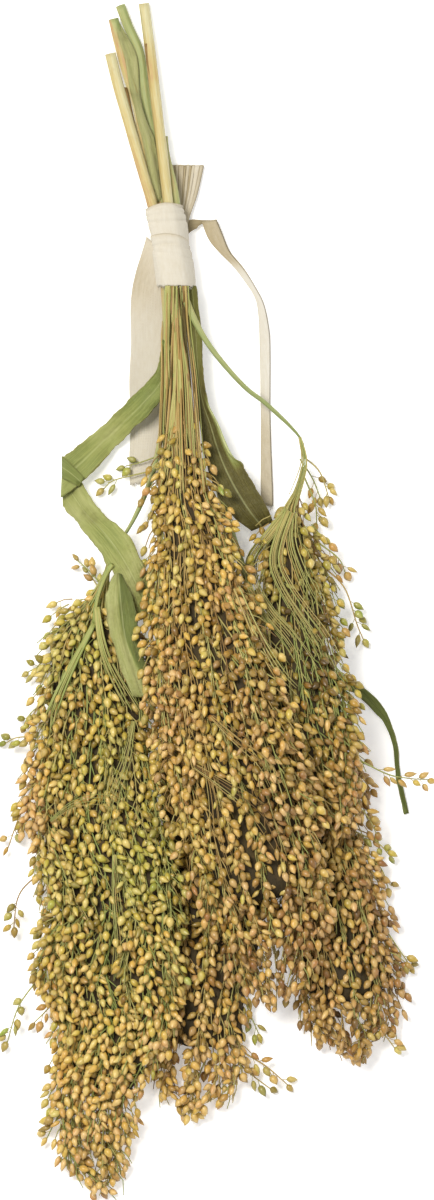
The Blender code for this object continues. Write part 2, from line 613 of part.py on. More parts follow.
def make_plants(pile, bunch, helpers, mats):
    """Every plant in the order in which it lies: its culm, then its head."""
    rng = np.random.default_rng(13)
    make_leaf("leaf_tip", [LEAF_TIP], pile, bunch, helpers, mats["leaf"])
    for name, plant in PLANTS.items():
        if name == "right":
            make_leaf("leaf_broad", [LEAF_BROAD], pile, bunch, helpers, mats["olive"])
        if name == "front":
            make_leaf("leaf_folded", [LEAF_FOLDED_BACK, LEAF_FOLDED], pile, bunch, helpers, mats["leaf"])
            make_leaf("leaf_hanging", [LEAF_HANGING], pile, bunch, helpers, mats["leaf"])
        culm = lay_culm(plant, pile, name)
        colour = mats["green"] if name in ("back", "right") else mats["straw"]
        culm_mesh = close(tube("culm_" + name, culm[:, :3], culm[:, 3], 2, helpers))
        join("culm_" + name, [culm_mesh], bunch, helpers, colour)
        laid = lay_head(plant, culm[-1, 2], pile, name)
        rings = head_rings(plant, laid, rng)
        meshes = [ringed("head", laid[0], plant["sides"], rings, helpers)]
        for x, y, end_x, end_y in plant["tips"]:
            line, rings = tip_rings((x, y), (end_x, end_y), pile, name, rng)
            meshes.append(ringed("tip", line, TIP_SIDES, rings, helpers))
        for owner, start, end in SPRIGS:
            if owner == name:
                meshes += sprig_meshes(start, end, pile, name, rng, helpers)
        head = join("head_" + name, meshes, bunch, helpers, mats["grain"])
        top = max(vertex.co.z for vertex in head.data.vertices)
        print(name, len(head.data.polygons), "faces, up to", round(top / MM, 1))


def main():
    bunch, helpers = new_scene()
    mats = {
        "straw": material("straw", (0.80, 0.68, 0.36), 0.5),
        "green": material("green_stem", (0.50, 0.56, 0.24), 0.55),
        "leaf": material("leaf", (0.45, 0.53, 0.22), 0.6),
        "olive": material("olive_leaf", (0.22, 0.24, 0.08), 0.6),
        "grain": material("grain", (0.62, 0.42, 0.14), 0.45),
        "cloth": material("cloth", (0.82, 0.78, 0.68), 0.9),
    }
    pile = Pile()
    make_tie(pile, bunch, helpers, mats["cloth"])
    make_sheath(bunch, helpers, mats["green"])
    make_plants(pile, bunch, helpers, mats)


main()
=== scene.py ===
# %% [markdown]
# # A tied bunch of millet
#
# Five cut stalks of proso millet are tied with a strip of cotton and laid down. Each stalk ends in a nodding head:
# a spray of thread-thin branches with a pointed, shining husk at the end of every one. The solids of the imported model
# give each stalk, leaf and head its place and its outline. This script dresses them: it hangs some ten thousand husks
# inside the outlines of the heads, and gives straw, leaf and cloth the marks that make them look real.

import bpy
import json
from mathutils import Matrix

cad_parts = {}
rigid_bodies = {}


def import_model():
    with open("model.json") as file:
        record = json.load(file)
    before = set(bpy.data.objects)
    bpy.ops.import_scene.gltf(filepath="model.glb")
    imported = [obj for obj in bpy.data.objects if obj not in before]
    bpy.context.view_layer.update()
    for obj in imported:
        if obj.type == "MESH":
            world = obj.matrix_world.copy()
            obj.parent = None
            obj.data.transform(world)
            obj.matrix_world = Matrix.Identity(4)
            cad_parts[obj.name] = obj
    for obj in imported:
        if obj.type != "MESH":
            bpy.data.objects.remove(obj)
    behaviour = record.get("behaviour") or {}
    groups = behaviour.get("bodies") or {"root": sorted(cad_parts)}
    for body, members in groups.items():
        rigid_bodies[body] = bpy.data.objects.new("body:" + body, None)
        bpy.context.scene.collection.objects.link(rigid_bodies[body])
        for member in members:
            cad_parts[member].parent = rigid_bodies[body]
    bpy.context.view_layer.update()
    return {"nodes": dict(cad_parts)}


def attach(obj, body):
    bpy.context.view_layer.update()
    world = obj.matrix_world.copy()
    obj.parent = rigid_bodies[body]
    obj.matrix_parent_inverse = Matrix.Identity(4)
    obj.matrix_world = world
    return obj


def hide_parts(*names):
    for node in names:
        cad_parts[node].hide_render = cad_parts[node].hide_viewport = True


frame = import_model()

# %% What the script uses
import json
import math

import bmesh
import bpy
import numpy as np
from mathutils import Vector
from mathutils.bvhtree import BVHTree

rng = np.random.default_rng(21)
scene = bpy.context.scene

# %% [markdown]
# ## Millimetres, and where the camera hangs
#
# The bunch was drawn in millimetres, seen from straight above, with the middle of the picture near zero. Everything
# below keeps those numbers, because they can be checked against the photograph, and `metres` turns them into the
# frame's own. The photograph was taken with a long lens from straight ahead, so the camera hangs far above and sees
# 432 mm of the floor from top to bottom.

# %% Drawing units and the camera
DRAWN_MIDDLE = np.array([0.7, -0.8, 0.0])  # this point of the drawing lies over the frame's origin
VIEW_MIDDLE = (0.0, -0.4)
VIEW_TALL = 432.0
CAMERA_HIGH = 4500.0
SENSOR = 36.0


def metres(points):
    """Drawing millimetres as metres in the frame."""
    return (np.asarray(points, float) - DRAWN_MIDDLE) / 1000


lens = bpy.data.cameras.new("long_lens")
lens.sensor_width = SENSOR
lens.lens = SENSOR * CAMERA_HIGH / VIEW_TALL
camera = bpy.data.objects.new("photo_camera", lens)
camera.location = metres((*VIEW_MIDDLE, CAMERA_HIGH + 20))
scene.collection.objects.link(camera)
scene.camera = camera
print("lens", lens.lens, "mm")

# %% [markdown]
# ## Studio light and a pale floor
#
# The photograph has a bright, even background, a large soft light from the upper left and little shadow. Here a big
# area light stands for it, a weaker one fills from the right, and a pale sky lights the rest. The lamps are hidden
# from the camera, so that they don't stand in the way when the bunch is looked at from other sides.

# %% Lights, sky and floor


def softbox(name, at, size, power, colour=(1, 1, 1)):
    """A square soft light that looks at the middle of the bunch."""
    lamp = bpy.data.lights.new(name, "AREA")
    lamp.shape = "SQUARE"
    lamp.size = size
    lamp.energy = power
    lamp.color = colour
    stand = bpy.data.objects.new(name, lamp)
    stand.location = at
    stand.rotation_euler = (-Vector(at)).to_track_quat("-Z", "Y").to_euler()
    stand.visible_camera = False
    scene.collection.objects.link(stand)
    return stand


softbox("key_light", (-0.5, 0.45, 1.7), 0.55, 31, (1.0, 0.97, 0.93))
softbox("fill_light", (0.9, -0.6, 1.3), 1.2, 4, (0.95, 0.97, 1.0))
sky = bpy.data.worlds.new("studio")
sky.use_nodes = True
sky.node_tree.nodes["Background"].inputs["Color"].default_value = (1, 1, 1, 1)
sky.node_tree.nodes["Background"].inputs["Strength"].default_value = 0.52
scene.world = sky
scene.view_settings.view_transform = "Standard"

bm = bmesh.new()
bmesh.ops.create_grid(bm, x_segments=1, y_segments=1, size=30)
bmesh.ops.translate(bm, vec=(0, 0, -0.0003), verts=bm.verts)
floor_mesh = bpy.data.meshes.new("floor")
bm.to_mesh(floor_mesh)
bm.free()
floor = bpy.data.objects.new("floor", floor_mesh)
scene.collection.objects.link(floor)
print("two lamps, a sky and a floor")

# %% [markdown]
# ## Helpers for paths
#
# Stalks, branches and leaves all follow a few given places. A Catmull-Rom curve passes through every one of them,
# which a Bezier curve does only with handles, so the places can be read straight off the photograph.

# %% Smooth paths


def smooth_path(places, step):
    """A smooth curve through rows of numbers whose first two are a place, read off every `step` millimetres."""
    places = np.array(places, float)
    padded = np.vstack([2 * places[0] - places[1], places, 2 * places[-1] - places[-2]])
    fine = []
    for before, start, end, after in zip(padded, padded[1:], padded[2:], padded[3:]):
        for t in np.linspace(0, 1, 16, endpoint=False):
            fine.append(
                0.5 * (2 * start + (end - before) * t + (2 * before - 5 * start + 4 * end - after) * t**2
                       + (3 * start - before - 3 * end + after) * t**3)
            )
    fine = np.array(fine + [places[-1]])
    along = distance_along(fine)
    stops = np.linspace(0, along[-1], max(3, round(along[-1] / step) + 1))
    return np.column_stack([np.interp(stops, along, column) for column in fine.T])


def distance_along(places):
    steps = np.linalg.norm(np.diff(places[:, :2], axis=0), axis=1)
    return np.concatenate([[0], np.cumsum(steps)])


def smoothstep(x):
    x = np.clip(x, 0, 1)
    return x * x * (3 - 2 * x)


def unit(vectors):
    return vectors / np.maximum(np.linalg.norm(vectors, axis=-1, keepdims=True), 1e-9)


def filled(values):
    """A row of numbers whose gaps (NaN) are filled from the numbers on both sides."""
    known = ~np.isnan(values)
    numbers = np.arange(len(values))
    return np.interp(numbers, numbers[known], values[known]) if known.any() else values


# %% [markdown]
# ## Feeling for the solids
#
# A husk, a vein or a fold of cloth has to lie where its solid is. A ray sent straight down finds the solid's upper
# side at a place, and one sent up finds its underside. Blender's BVH tree makes that quick.

# %% Where a solid starts and ends above a place
UP, DOWN = Vector((0, 0, 1)), Vector((0, 0, -1))


def touchable(node):
    """A search tree of a solid, in drawing millimetres."""
    mesh = frame["nodes"][node].data
    points = [Vector(np.array(vertex.co) * 1000 + DRAWN_MIDDLE) for vertex in mesh.vertices]
    return BVHTree.FromPolygons(points, [tuple(face.vertices) for face in mesh.polygons])


solids = {name: touchable(name) for name in frame["nodes"]}


def underside_and_top(node, x, y):
    """The lowest and the highest height of a solid above a place, or two NaNs beside it."""
    top = solids[node].ray_cast(Vector((x, y, 200)), DOWN)[0]
    if top is None:
        return math.nan, math.nan
    return solids[node].ray_cast(Vector((x, y, -50)), UP)[0].z, top.z


def highest(x, y, nodes=None):
    """The height of the uppermost of these solids above a place, or 0 on the bare floor."""
    tops = [underside_and_top(node, x, y)[1] for node in (nodes or solids)]
    return max([0.0] + [top for top in tops if not math.isnan(top)])


print("search trees:", len(solids))

# %% [markdown]
# ## Threads
#
# Stalks and branches are round and taper. A curve with a bevel makes such tubes in one step, even hundreds of them in
# one curve. Its mesh comes ring by ring, so every point can also be told how far along and how far round its stalk it
# lies, and how ripe the stalk is. The materials read these notes, `fibre` and `tone`.

# %% A mesh of many tapering stalks


def stalks(name, paths, tones, sides=4):
    """Tubes along rows of x, y, z, radius in millimetres, closed at both ends, as one object."""
    curve = bpy.data.curves.new(name, "CURVE")
    curve.dimensions = "3D"
    curve.bevel_depth = 0.001
    curve.bevel_resolution = (sides - 4) // 2
    for path in paths:
        path[:, 2] = np.maximum(path[:, 2], path[:, 3] + 0.1)  # none dips into the floor
        spline = curve.splines.new("POLY")
        spline.points.add(len(path) - 1)
        spline.points.foreach_set("co", np.column_stack([metres(path[:, :3]), np.ones(len(path))]).ravel())
        spline.points.foreach_set("radius", np.ascontiguousarray(path[:, 3]))
    guide = bpy.data.objects.new(name, curve)
    scene.collection.objects.link(guide)
    bpy.context.view_layer.update()
    mesh = bpy.data.meshes.new_from_object(guide.evaluated_get(bpy.context.evaluated_depsgraph_get()))
    bpy.data.objects.remove(guide)
    turns = np.arange(sides) * 2 * math.pi / sides
    notes = []
    for number, path in enumerate(paths):
        along = distance_along(path) + 17.0 * number
        for distance in along:
            notes.append(np.column_stack([np.cos(turns), np.sin(turns), np.full(sides, distance)]))
    fibre = mesh.attributes.new("fibre", "FLOAT_VECTOR", "POINT")
    fibre.data.foreach_set("vector", np.concatenate(notes).ravel())
    tone = mesh.attributes.new("tone", "FLOAT", "POINT")
    told = [np.repeat(np.broadcast_to(value, len(path)), sides) for value, path in zip(tones, paths)]
    tone.data.foreach_set("value", np.concatenate(told).astype(np.float32))
    bm = bmesh.new()
    bm.from_mesh(mesh)
    bmesh.ops.holes_fill(bm, edges=[edge for edge in bm.edges if edge.is_boundary], sides=sides)
    bm.to_mesh(mesh)
    bm.free()
    mesh.shade_smooth()
    piece = bpy.data.objects.new(name, mesh)
    scene.collection.objects.link(piece)
    return piece


def triangles(piece):
    piece.data.calc_loop_triangles()
    return len(piece.data.loop_triangles)


def dress(piece, finish, node=None):
    """Give a piece its finish and the solid that it stands for, and print how large it came out."""
    piece.data.materials.append(finish)
    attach(piece, "root")
    if node:
        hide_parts(node)
    print(piece.name, triangles(piece), "triangles")


# %% [markdown]
# ## Colours and shared effects
#
# Dry plants are streaked along their fibres and blotched across them. Both effects appear on stalks, leaves and
# husks, so each is a node group, built once and used with other values in every material.

# %% Small helpers for node trees


def srgb(code):
    """A colour as it is written in a paint program, as the linear values that shaders take."""
    parts = [int(code[i : i + 2], 16) / 255 for i in (1, 3, 5)]
    return (*[part / 12.92 if part <= 0.04045 else ((part + 0.055) / 1.055) ** 2.4 for part in parts], 1.0)


def add(tree, kind, links=None, settings=None, **values):
    """A node, with its inputs set by name or number and linked from other nodes' outputs."""
    node = tree.nodes.new("ShaderNode" + kind)
    for key, value in (settings or {}).items():
        setattr(node, key, value)
    for key, value in values.items():
        node.inputs[key.replace("_", " ")].default_value = value
    for key, socket in (links or {}).items():
        tree.links.new(socket, node.inputs[key])
    return node


def ramp(tree, value, stops):
    """A colour ramp through (position, colour code) stops."""
    node = add(tree, "ValToRGB", {"Fac": value})
    elements = node.color_ramp.elements
    while len(elements) < len(stops):
        elements.new(0.5)
    for element, (position, code) in zip(elements, stops):
        element.position = position
        element.color = srgb(code)
    return node.outputs["Color"]


def feed(tree, value, socket):
    """A fixed value, or another node's output, into a socket."""
    if isinstance(value, bpy.types.NodeSocket):
        tree.links.new(value, socket)
    else:
        socket.default_value = value


def blend(tree, share, under, over, way="MIX"):
    """`over` laid on `under` by a share."""
    node = add(tree, "Mix", settings={"data_type": "RGBA", "blend_type": way, "clamp_result": True})
    for number, value in ((0, share), (6, under), (7, over)):
        feed(tree, value, node.inputs[number])
    return node.outputs[2]


def maths(tree, operation, first, second=0.0, clamp=False):
    node = add(tree, "Math", settings={"operation": operation, "use_clamp": clamp})
    feed(tree, first, node.inputs[0])
    feed(tree, second, node.inputs[1])
    return node.outputs[0]


def about_zero(tree, pattern, reach):
    """A pattern from 0 to 1 as a swing to both sides of zero."""
    return maths(tree, "MULTIPLY", maths(tree, "SUBTRACT", pattern, 0.5), reach)


def stain(tree, colour, mask, strength, code):
    """A colour code laid over a colour where a mask is high."""
    return blend(tree, maths(tree, "MULTIPLY", mask, strength), colour, srgb(code))


def stretched(tree, vector, amounts):
    """A place with each of its three numbers made larger or smaller, which draws a pattern out."""
    node = add(tree, "VectorMath", {0: vector}, settings={"operation": "MULTIPLY"})
    node.inputs[1].default_value = amounts
    return node.outputs[0]


# %% The two shared effects


def new_group(name, inputs, outputs):
    group = bpy.data.node_groups.new(name, "ShaderNodeTree")
    for label, kind, default in inputs:
        socket = group.interface.new_socket(label, in_out="INPUT", socket_type=kind)
        if default is not None:
            socket.default_value = default
    for label, kind in outputs:
        group.interface.new_socket(label, in_out="OUTPUT", socket_type=kind)
    return group, group.nodes.new("NodeGroupInput"), group.nodes.new("NodeGroupOutput")


FLOAT, VECTOR = "NodeSocketFloat", "NodeSocketVector"
fibres, taken, given = new_group(
    "plant_fibres", [("Place", VECTOR, None), ("Fineness", FLOAT, 1.0), ("Contrast", FLOAT, 0.5)], [("Streak", FLOAT)]
)
coarse = add(fibres, "TexNoise", {"Vector": taken.outputs["Place"], "Scale": taken.outputs["Fineness"]},
             Detail=4.0, Roughness=0.65)
spread = about_zero(fibres, coarse.outputs[0], taken.outputs["Contrast"])
fibres.links.new(maths(fibres, "ADD", spread, 0.5, clamp=True), given.inputs["Streak"])

blotches, taken, given = new_group(
    "dry_blotches", [("Place", VECTOR, None), ("Scale", FLOAT, 60.0), ("Amount", FLOAT, 0.5)], [("Mask", FLOAT)]
)
patch = add(blotches, "TexNoise", {"Vector": taken.outputs["Place"], "Scale": taken.outputs["Scale"]},
            Detail=3.0, Roughness=0.6)
raised = maths(blotches, "ADD", patch.outputs[0], maths(blotches, "SUBTRACT", taken.outputs["Amount"], 1.0))
blotches.links.new(maths(blotches, "MULTIPLY", raised, 5.0, clamp=True), given.inputs["Mask"])


def use(tree, group, links, **values):
    """A group placed in a material, with its own values."""
    node = tree.nodes.new("ShaderNodeGroup")
    node.node_tree = group
    for key, value in values.items():
        node.inputs[key].default_value = value
    for key, socket in links.items():
        tree.links.new(socket, node.inputs[key])
    return node.outputs[0]


def finish_of(name):
    """A new material, its tree and its shader."""
    material = bpy.data.materials.new(name)
    material.use_nodes = True
    return material, material.node_tree, material.node_tree.nodes["Principled BSDF"]


def note(tree, name):
    """What the mesh's points say under this name."""
    return add(tree, "Attribute", settings={"attribute_name": name})


def relief(tree, shader, height, depth, strength=1.0):
    """Height in millimetres as a bump on the shader's normal."""
    bump = add(tree, "Bump", {"Height": height}, Strength=strength, Distance=depth / 1000)
    tree.links.new(bump.outputs[0], shader.inputs["Normal"])


def roughen(tree, shader, pattern, spread, least):
    """Roughness from `least` up, by a pattern."""
    tree.links.new(maths(tree, "ADD", maths(tree, "MULTIPLY", pattern, spread), least), shader.inputs["Roughness"])


print("groups:", fibres.name, blotches.name)

# %% [markdown]
# ## The floor's finish
#
# A pale, matte sheet on a light table, whose faint glow keeps the shadows light, as in the photograph. A trace of
# cloudiness keeps it from looking like a hole in the picture.

# %% Pale paper
material, tree, shader = finish_of("studio_paper")
where = add(tree, "TexCoord").outputs["Object"]
cloud = add(tree, "TexNoise", {"Vector": where}, Scale=3.0).outputs[0]
tree.links.new(ramp(tree, cloud, [(0.3, "#f6f6f5"), (0.7, "#fafafa")]), shader.inputs["Base Color"])
shader.inputs["Roughness"].default_value = 0.9
shader.inputs["Emission Strength"].default_value = 0.3
floor.data.materials.append(material)

# %% [markdown]
# ## Husks
#
# A millet husk is a hard, glossy shell, pale green before it ripens and gold to tan after, with fine nerves from its
# foot to its dark point. One material serves all of them. Each husk carries its own ripeness and shade in the colour
# attribute `husk`, with the distance from foot to point and a nerve that comes and goes round it, so that no two
# neighbours look alike. The shade is partly chance and partly painted light and shade, laid on whole heads and patches.

# %% The husks' finish
RIPENING = [
    (0.0, "#8f9c3c"), (0.2, "#aea643"), (0.4, "#c6ad4c"), (0.58, "#cea54e"), (0.78, "#cb9d60"), (1.0, "#a87741"),
]
husk_finish, tree, shader = finish_of("millet_husk")
husk = note(tree, "husk")
parts = add(tree, "SeparateColor", {"Color": husk.outputs["Color"]})
ripe, shade, along_husk = parts.outputs
where = add(tree, "TexCoord").outputs["Object"]
mottle = use(tree, blotches, {"Place": where}, Scale=900.0, Amount=0.45)
colour = ramp(tree, ripe, RIPENING)
colour = stain(tree, colour, mottle, 0.35, "#a27a40")
colour = stain(tree, colour, husk.outputs["Alpha"], 0.3, "#e8d79a")
foot = ramp(tree, along_husk, [(0.0, "#ffffff"), (0.28, "#000000")])
colour = stain(tree, colour, foot, 0.45, "#a5a45a")
point = ramp(tree, along_husk, [(0.8, "#000000"), (1.0, "#ffffff")])
colour = stain(tree, colour, point, 0.75, "#6d4a22")
# The shade channel darkens or lightens each husk: partly chance, partly painted light and shade by head and by patch.
lit = ramp(tree, shade, [(0.0, "#6c5e49"), (0.5, "#c2b7a3"), (1.0, "#ffffff")])
tree.links.new(blend(tree, 1.0, colour, lit, "MULTIPLY"), shader.inputs["Base Color"])
roughen(tree, shader, mottle, 0.2, 0.33)
relief(tree, shader, maths(tree, "ADD", husk.outputs["Alpha"], mottle), 0.12, 0.6)

# %% [markdown]
# ## Threads and straw
#
# The thread-thin branches are olive near the stalk and straw coloured towards the husks. The culms are straw with
# long fibres, green where the leaf sheath kept the sun off. All of them use the streaks along their own `fibre` note,
# so that the streaks follow every bend.

# %% The finish of branches and culms


def stalk_finish(name, stops, fineness, roughness, depth):
    """Streaked along the fibre, coloured by the tone that each stalk carries."""
    material, tree, shader = finish_of(name)
    lie = note(tree, "fibre").outputs["Vector"]
    streak = use(tree, fibres, {"Place": stretched(tree, lie, (1, 1, 0.035))}, Fineness=fineness, Contrast=1.3)
    dirt = use(tree, blotches, {"Place": add(tree, "TexCoord").outputs["Object"]}, Scale=160.0, Amount=0.42)
    tone = note(tree, "tone").outputs["Fac"]
    colour = ramp(tree, maths(tree, "ADD", tone, about_zero(tree, streak, 0.5), clamp=True), stops)
    colour = stain(tree, colour, dirt, 0.3, "#8a6a34")
    tree.links.new(colour, shader.inputs["Base Color"])
    roughen(tree, shader, streak, 0.25, roughness)
    relief(tree, shader, streak, depth)
    return material


thread_finish = stalk_finish(
    "branch_threads", [(0.0, "#8b9850"), (0.3, "#a3a35c"), (0.5, "#b3a966"), (0.75, "#b09052"), (1.0, "#86683a")], 2.0, 0.45, 0.1
)
culm_finish = stalk_finish(
    "culm_straw", [(0.0, "#6f7d3b"), (0.22, "#939d62"), (0.42, "#a8a66a"), (0.58, "#b28e5c"), (0.74, "#bba86a"),
                   (1.0, "#c5bf94")], 3.2, 0.38, 0.25
)
# The tangle's near-black browns are painted shade: the shade deep inside a head, darker than its branches are.
tangle_shade_finish = stalk_finish(
    "branch_tangle_painted_shade", [(0.0, "#1e180a"), (0.5, "#382d14"), (0.75, "#544620"), (1.0, "#7a6b3a")], 1.6, 0.7, 0.8
)
print("finishes:", husk_finish.name, thread_finish.name, culm_finish.name, tangle_shade_finish.name)

# %% [markdown]
# ## Leaves and cotton
#
# A dry grass leaf keeps its parallel veins and its midrib, and turns brown in spots and along its edge. Unbleached
# cotton is cream, matte and a little uneven in its threads. Both read the UV map `blade`, which runs across and along
# the strip, so that veins and weave follow every fold.

# %% The finish of leaves and cotton


def laid_out(tree):
    """Across and along a strip, from its UV map, as a vector and as two numbers."""
    lie = add(tree, "UVMap", settings={"uv_map": "blade"}).outputs["UV"]
    parts = add(tree, "SeparateXYZ", {"Vector": lie})
    return lie, parts.outputs["X"], parts.outputs["Y"]


def blade_finish(name, stops, spots):
    """A dry leaf blade: parallel veins, a pale midrib, and brown spots and edges."""
    material, tree, shader = finish_of(name)
    lie, across, along = laid_out(tree)
    streak = use(tree, fibres, {"Place": stretched(tree, lie, (26, 0.35, 1))}, Fineness=1.4, Contrast=1.7)
    where = add(tree, "TexCoord").outputs["Object"]
    patch = use(tree, blotches, {"Place": where}, Scale=110.0, Amount=spots)
    speck = use(tree, blotches, {"Place": where}, Scale=420.0, Amount=0.33)
    wrinkle = use(tree, fibres, {"Place": where}, Fineness=190.0, Contrast=1.6)
    cloud = use(tree, fibres, {"Place": stretched(tree, lie, (3, 0.8, 1))}, Fineness=1.0, Contrast=1.2)
    tone = note(tree, "tone").outputs["Fac"]
    streaked = maths(tree, "ADD", tone, about_zero(tree, streak, 0.4))
    colour = ramp(tree, maths(tree, "ADD", streaked, about_zero(tree, cloud, 0.4), clamp=True), stops)
    aside = maths(tree, "ABSOLUTE", maths(tree, "SUBTRACT", across, 0.5))
    midrib = maths(tree, "SUBTRACT", 1.0, maths(tree, "MULTIPLY", aside, 26.0), clamp=True)
    colour = stain(tree, colour, midrib, 0.45, "#c3c68c")
    rim = maths(tree, "MULTIPLY", maths(tree, "SUBTRACT", aside, 0.455), 22.0, clamp=True)
    colour = stain(tree, colour, rim, maths(tree, "ADD", patch, 0.35), "#8b7a42")
    colour = stain(tree, colour, patch, 0.45, "#6f6a34")
    colour = stain(tree, colour, speck, 0.55, "#75672f")
    tree.links.new(colour, shader.inputs["Base Color"])
    roughen(tree, shader, streak, 0.25, 0.42)
    relief(tree, shader, maths(tree, "ADD", streak, maths(tree, "MULTIPLY", wrinkle, 1.6)), 0.45, 0.9)
    return material


leaf_finish = blade_finish(
    "dry_leaf", [(0.0, "#565f2a"), (0.3, "#7d8742"), (0.55, "#9a9f58"), (0.8, "#b2b276"), (1.0, "#c6c18c")], 0.44
)
olive_finish = blade_finish(
    "olive_leaf", [(0.0, "#494318"), (0.25, "#665f29"), (0.5, "#7c7f3c"), (0.8, "#a3aa66"), (1.0, "#bfc48a")], 0.4
)


def cotton_like(name, stops, weave):
    """Unbleached cotton with a plain weave of uneven threads, darker by its tone note where shade is painted."""
    material, tree, shader = finish_of(name)
    place = laid_out(tree)[0] if weave else note(tree, "fibre").outputs["Vector"]
    uneven = use(tree, fibres, {"Place": stretched(tree, place, (9, 2.2, 1))}, Fineness=1.0, Contrast=1.4)
    cross = use(tree, fibres, {"Place": stretched(tree, place, (2.2, 9, 1))}, Fineness=1.0, Contrast=1.4)
    tone = note(tree, "tone").outputs["Fac"]
    colour = ramp(tree, maths(tree, "ADD", tone, about_zero(tree, uneven, 0.25), clamp=True), stops)
    colour = stain(tree, colour, cross, 0.1, "#c4b998")
    height = maths(tree, "ADD", uneven, cross)
    if weave:
        for way in ("X", "Y"):
            wave = add(tree, "TexWave", {"Vector": place}, settings={"bands_direction": way}, Scale=3.2, Distortion=0.8,
                       Detail=1.0, Detail_Scale=4.0)
            height = maths(tree, "ADD", height, maths(tree, "MULTIPLY", wave.outputs["Fac"], 0.5))
    tree.links.new(colour, shader.inputs["Base Color"])
    roughen(tree, shader, uneven, 0.1, 0.82)
    relief(tree, shader, height, 0.1, 0.5)
    return material


# The lower stops, down to a grey brown, serve painted shade on the strip; the upper ones are the cotton's cream.
COTTON_AND_SHADE_TONES = [(0.0, "#776a4a"), (0.35, "#a39576"), (0.65, "#bfb6a2"), (0.9, "#ccc7ba"), (1.0, "#d4d1c8")]
cotton_finish = cotton_like("woven_cotton", COTTON_AND_SHADE_TONES, True)
fray_finish = cotton_like("cotton_threads", COTTON_AND_SHADE_TONES, False)
print("finishes:", leaf_finish.name, olive_finish.name, cotton_finish.name, fray_finish.name)

# %% [markdown]
# ## The culms
#
# Each culm is a hollow straw about 4 mm thick, cut off at the top and tapering to the thin stalk of its head. Its way
# across the picture is given here, and its height and thickness are felt from its solid, so it goes under and over
# its neighbours exactly as the solid does.

# %% Where the culms run
CULMS = {
    "back": [
        (-34.9, 214.4), (-32.0, 206.6), (-28.1, 197.6), (-26.6, 186.8), (-25.2, 176.0), (-23.0, 165.2), (-21.2, 154.4),
        (-19.4, 142.6), (-17.0, 127.2), (-14.4, 111.8), (-13.3, 93.2), (-9.7, 64.4), (-5.0, 35.6),
    ],
    "lower": [
        (-16.9, 167.0), (-16.2, 156.2), (-15.1, 142.6), (-13.0, 127.2), (-11.0, 111.8), (-8.9, 93.2), (-6.0, 71.6),
        (1.8, 35.6), (11.9, 3.2), (18.4, -14.8),
    ],
    "right": [
        (-26.4, 215.2), (-24.1, 197.6), (-22.0, 179.6), (-19.8, 161.6), (-17.6, 142.6), (-15.4, 127.2), (-12.6, 111.8),
        (-6.6, 97.6), (0.5, 87.0), (10.1, 76.3), (18.4, 69.8), (29.9, 58.3), (31.7, 50.8),
    ],
    "left": [
        (-37.4, 209.5), (-34.6, 197.6), (-31.0, 185.0), (-28.4, 176.0), (-25.6, 161.6), (-23.0, 150.8), (-20.5, 142.6),
        (-19.5, 127.2), (-18.6, 111.8), (-18.3, 93.2), (-19.5, 64.4), (-23.5, 44.7), (-29.5, 29.8), (-36.9, 17.4),
    ],
    "front": [
        (-38.5, 196.8), (-35.6, 185.0), (-32.0, 172.4), (-28.4, 159.8), (-25.6, 150.1), (-23.4, 142.6), (-19.9, 127.2),
        (-16.5, 111.8), (-14.0, 96.8), (-11.5, 80.6),
    ],
}
CULM_SIDES = 16
THICKEST = 1.95  # radius
WALL = 0.55
HOLLOW = 9.0  # how deep one looks into a cut end


def felt_path(node, places, step):
    """A path through these places along the middle of a round solid: rows of x, y, z, radius."""
    path = smooth_path(places, step)
    felt = np.array([underside_and_top(node, x, y) for x, y in path])
    known = ~np.isnan(felt[:, 0])
    along = distance_along(path)
    felt = np.column_stack([np.interp(along, along[known], side[known]) for side in felt.T])
    middle = felt.mean(axis=1)
    for _ in range(3):
        middle[1:-1] = (middle[:-2] + 2 * middle[1:-1] + middle[2:]) / 4
    return np.column_stack([path, middle, (felt[:, 1] - felt[:, 0]) / 2])


culm_paths = {}
for name, places in CULMS.items():
    path = felt_path("culm_" + name, places, 2.5)
    ring_noise = np.convolve(rng.normal(0, 0.03, len(path) + 4), np.ones(5) / 3, "valid")
    even = np.convolve(np.pad(path[:, 3], 2, "edge"), np.ones(5) / 5, "valid")
    path[:, 3] = np.minimum(even, THICKEST) * (1 + ring_noise)
    path[:5, 3] = path[5, 3]
    if name in ("right", "left"):  # their stems are seen bare, and thin towards their heads
        path[:, 3] *= np.interp(path[:, 1], (50, 95, 118), (0.72, 0.82, 1.0))
    if name == "lower":  # cut short and slanting, half hidden between its neighbours
        path[:, 3] *= np.interp(path[:, 1], (143, 164), (1.0, 0.45))
        path[:, 0] -= 1.7 * smoothstep((path[:, 1] - 145) / 18)
    path[-9:, 3] *= np.linspace(1, 0.45, 9)
    culm_paths[name] = path
    print(name, len(path), "rings, radius", path[0, 3].round(2), "to", path[-1, 3].round(2))

# %% [markdown]
# The cut end of a straw shows its wall and the dark inside. The end face is inset by the thickness of the wall and
# the inner face is pushed down the straw, as one would do by hand in edit mode.

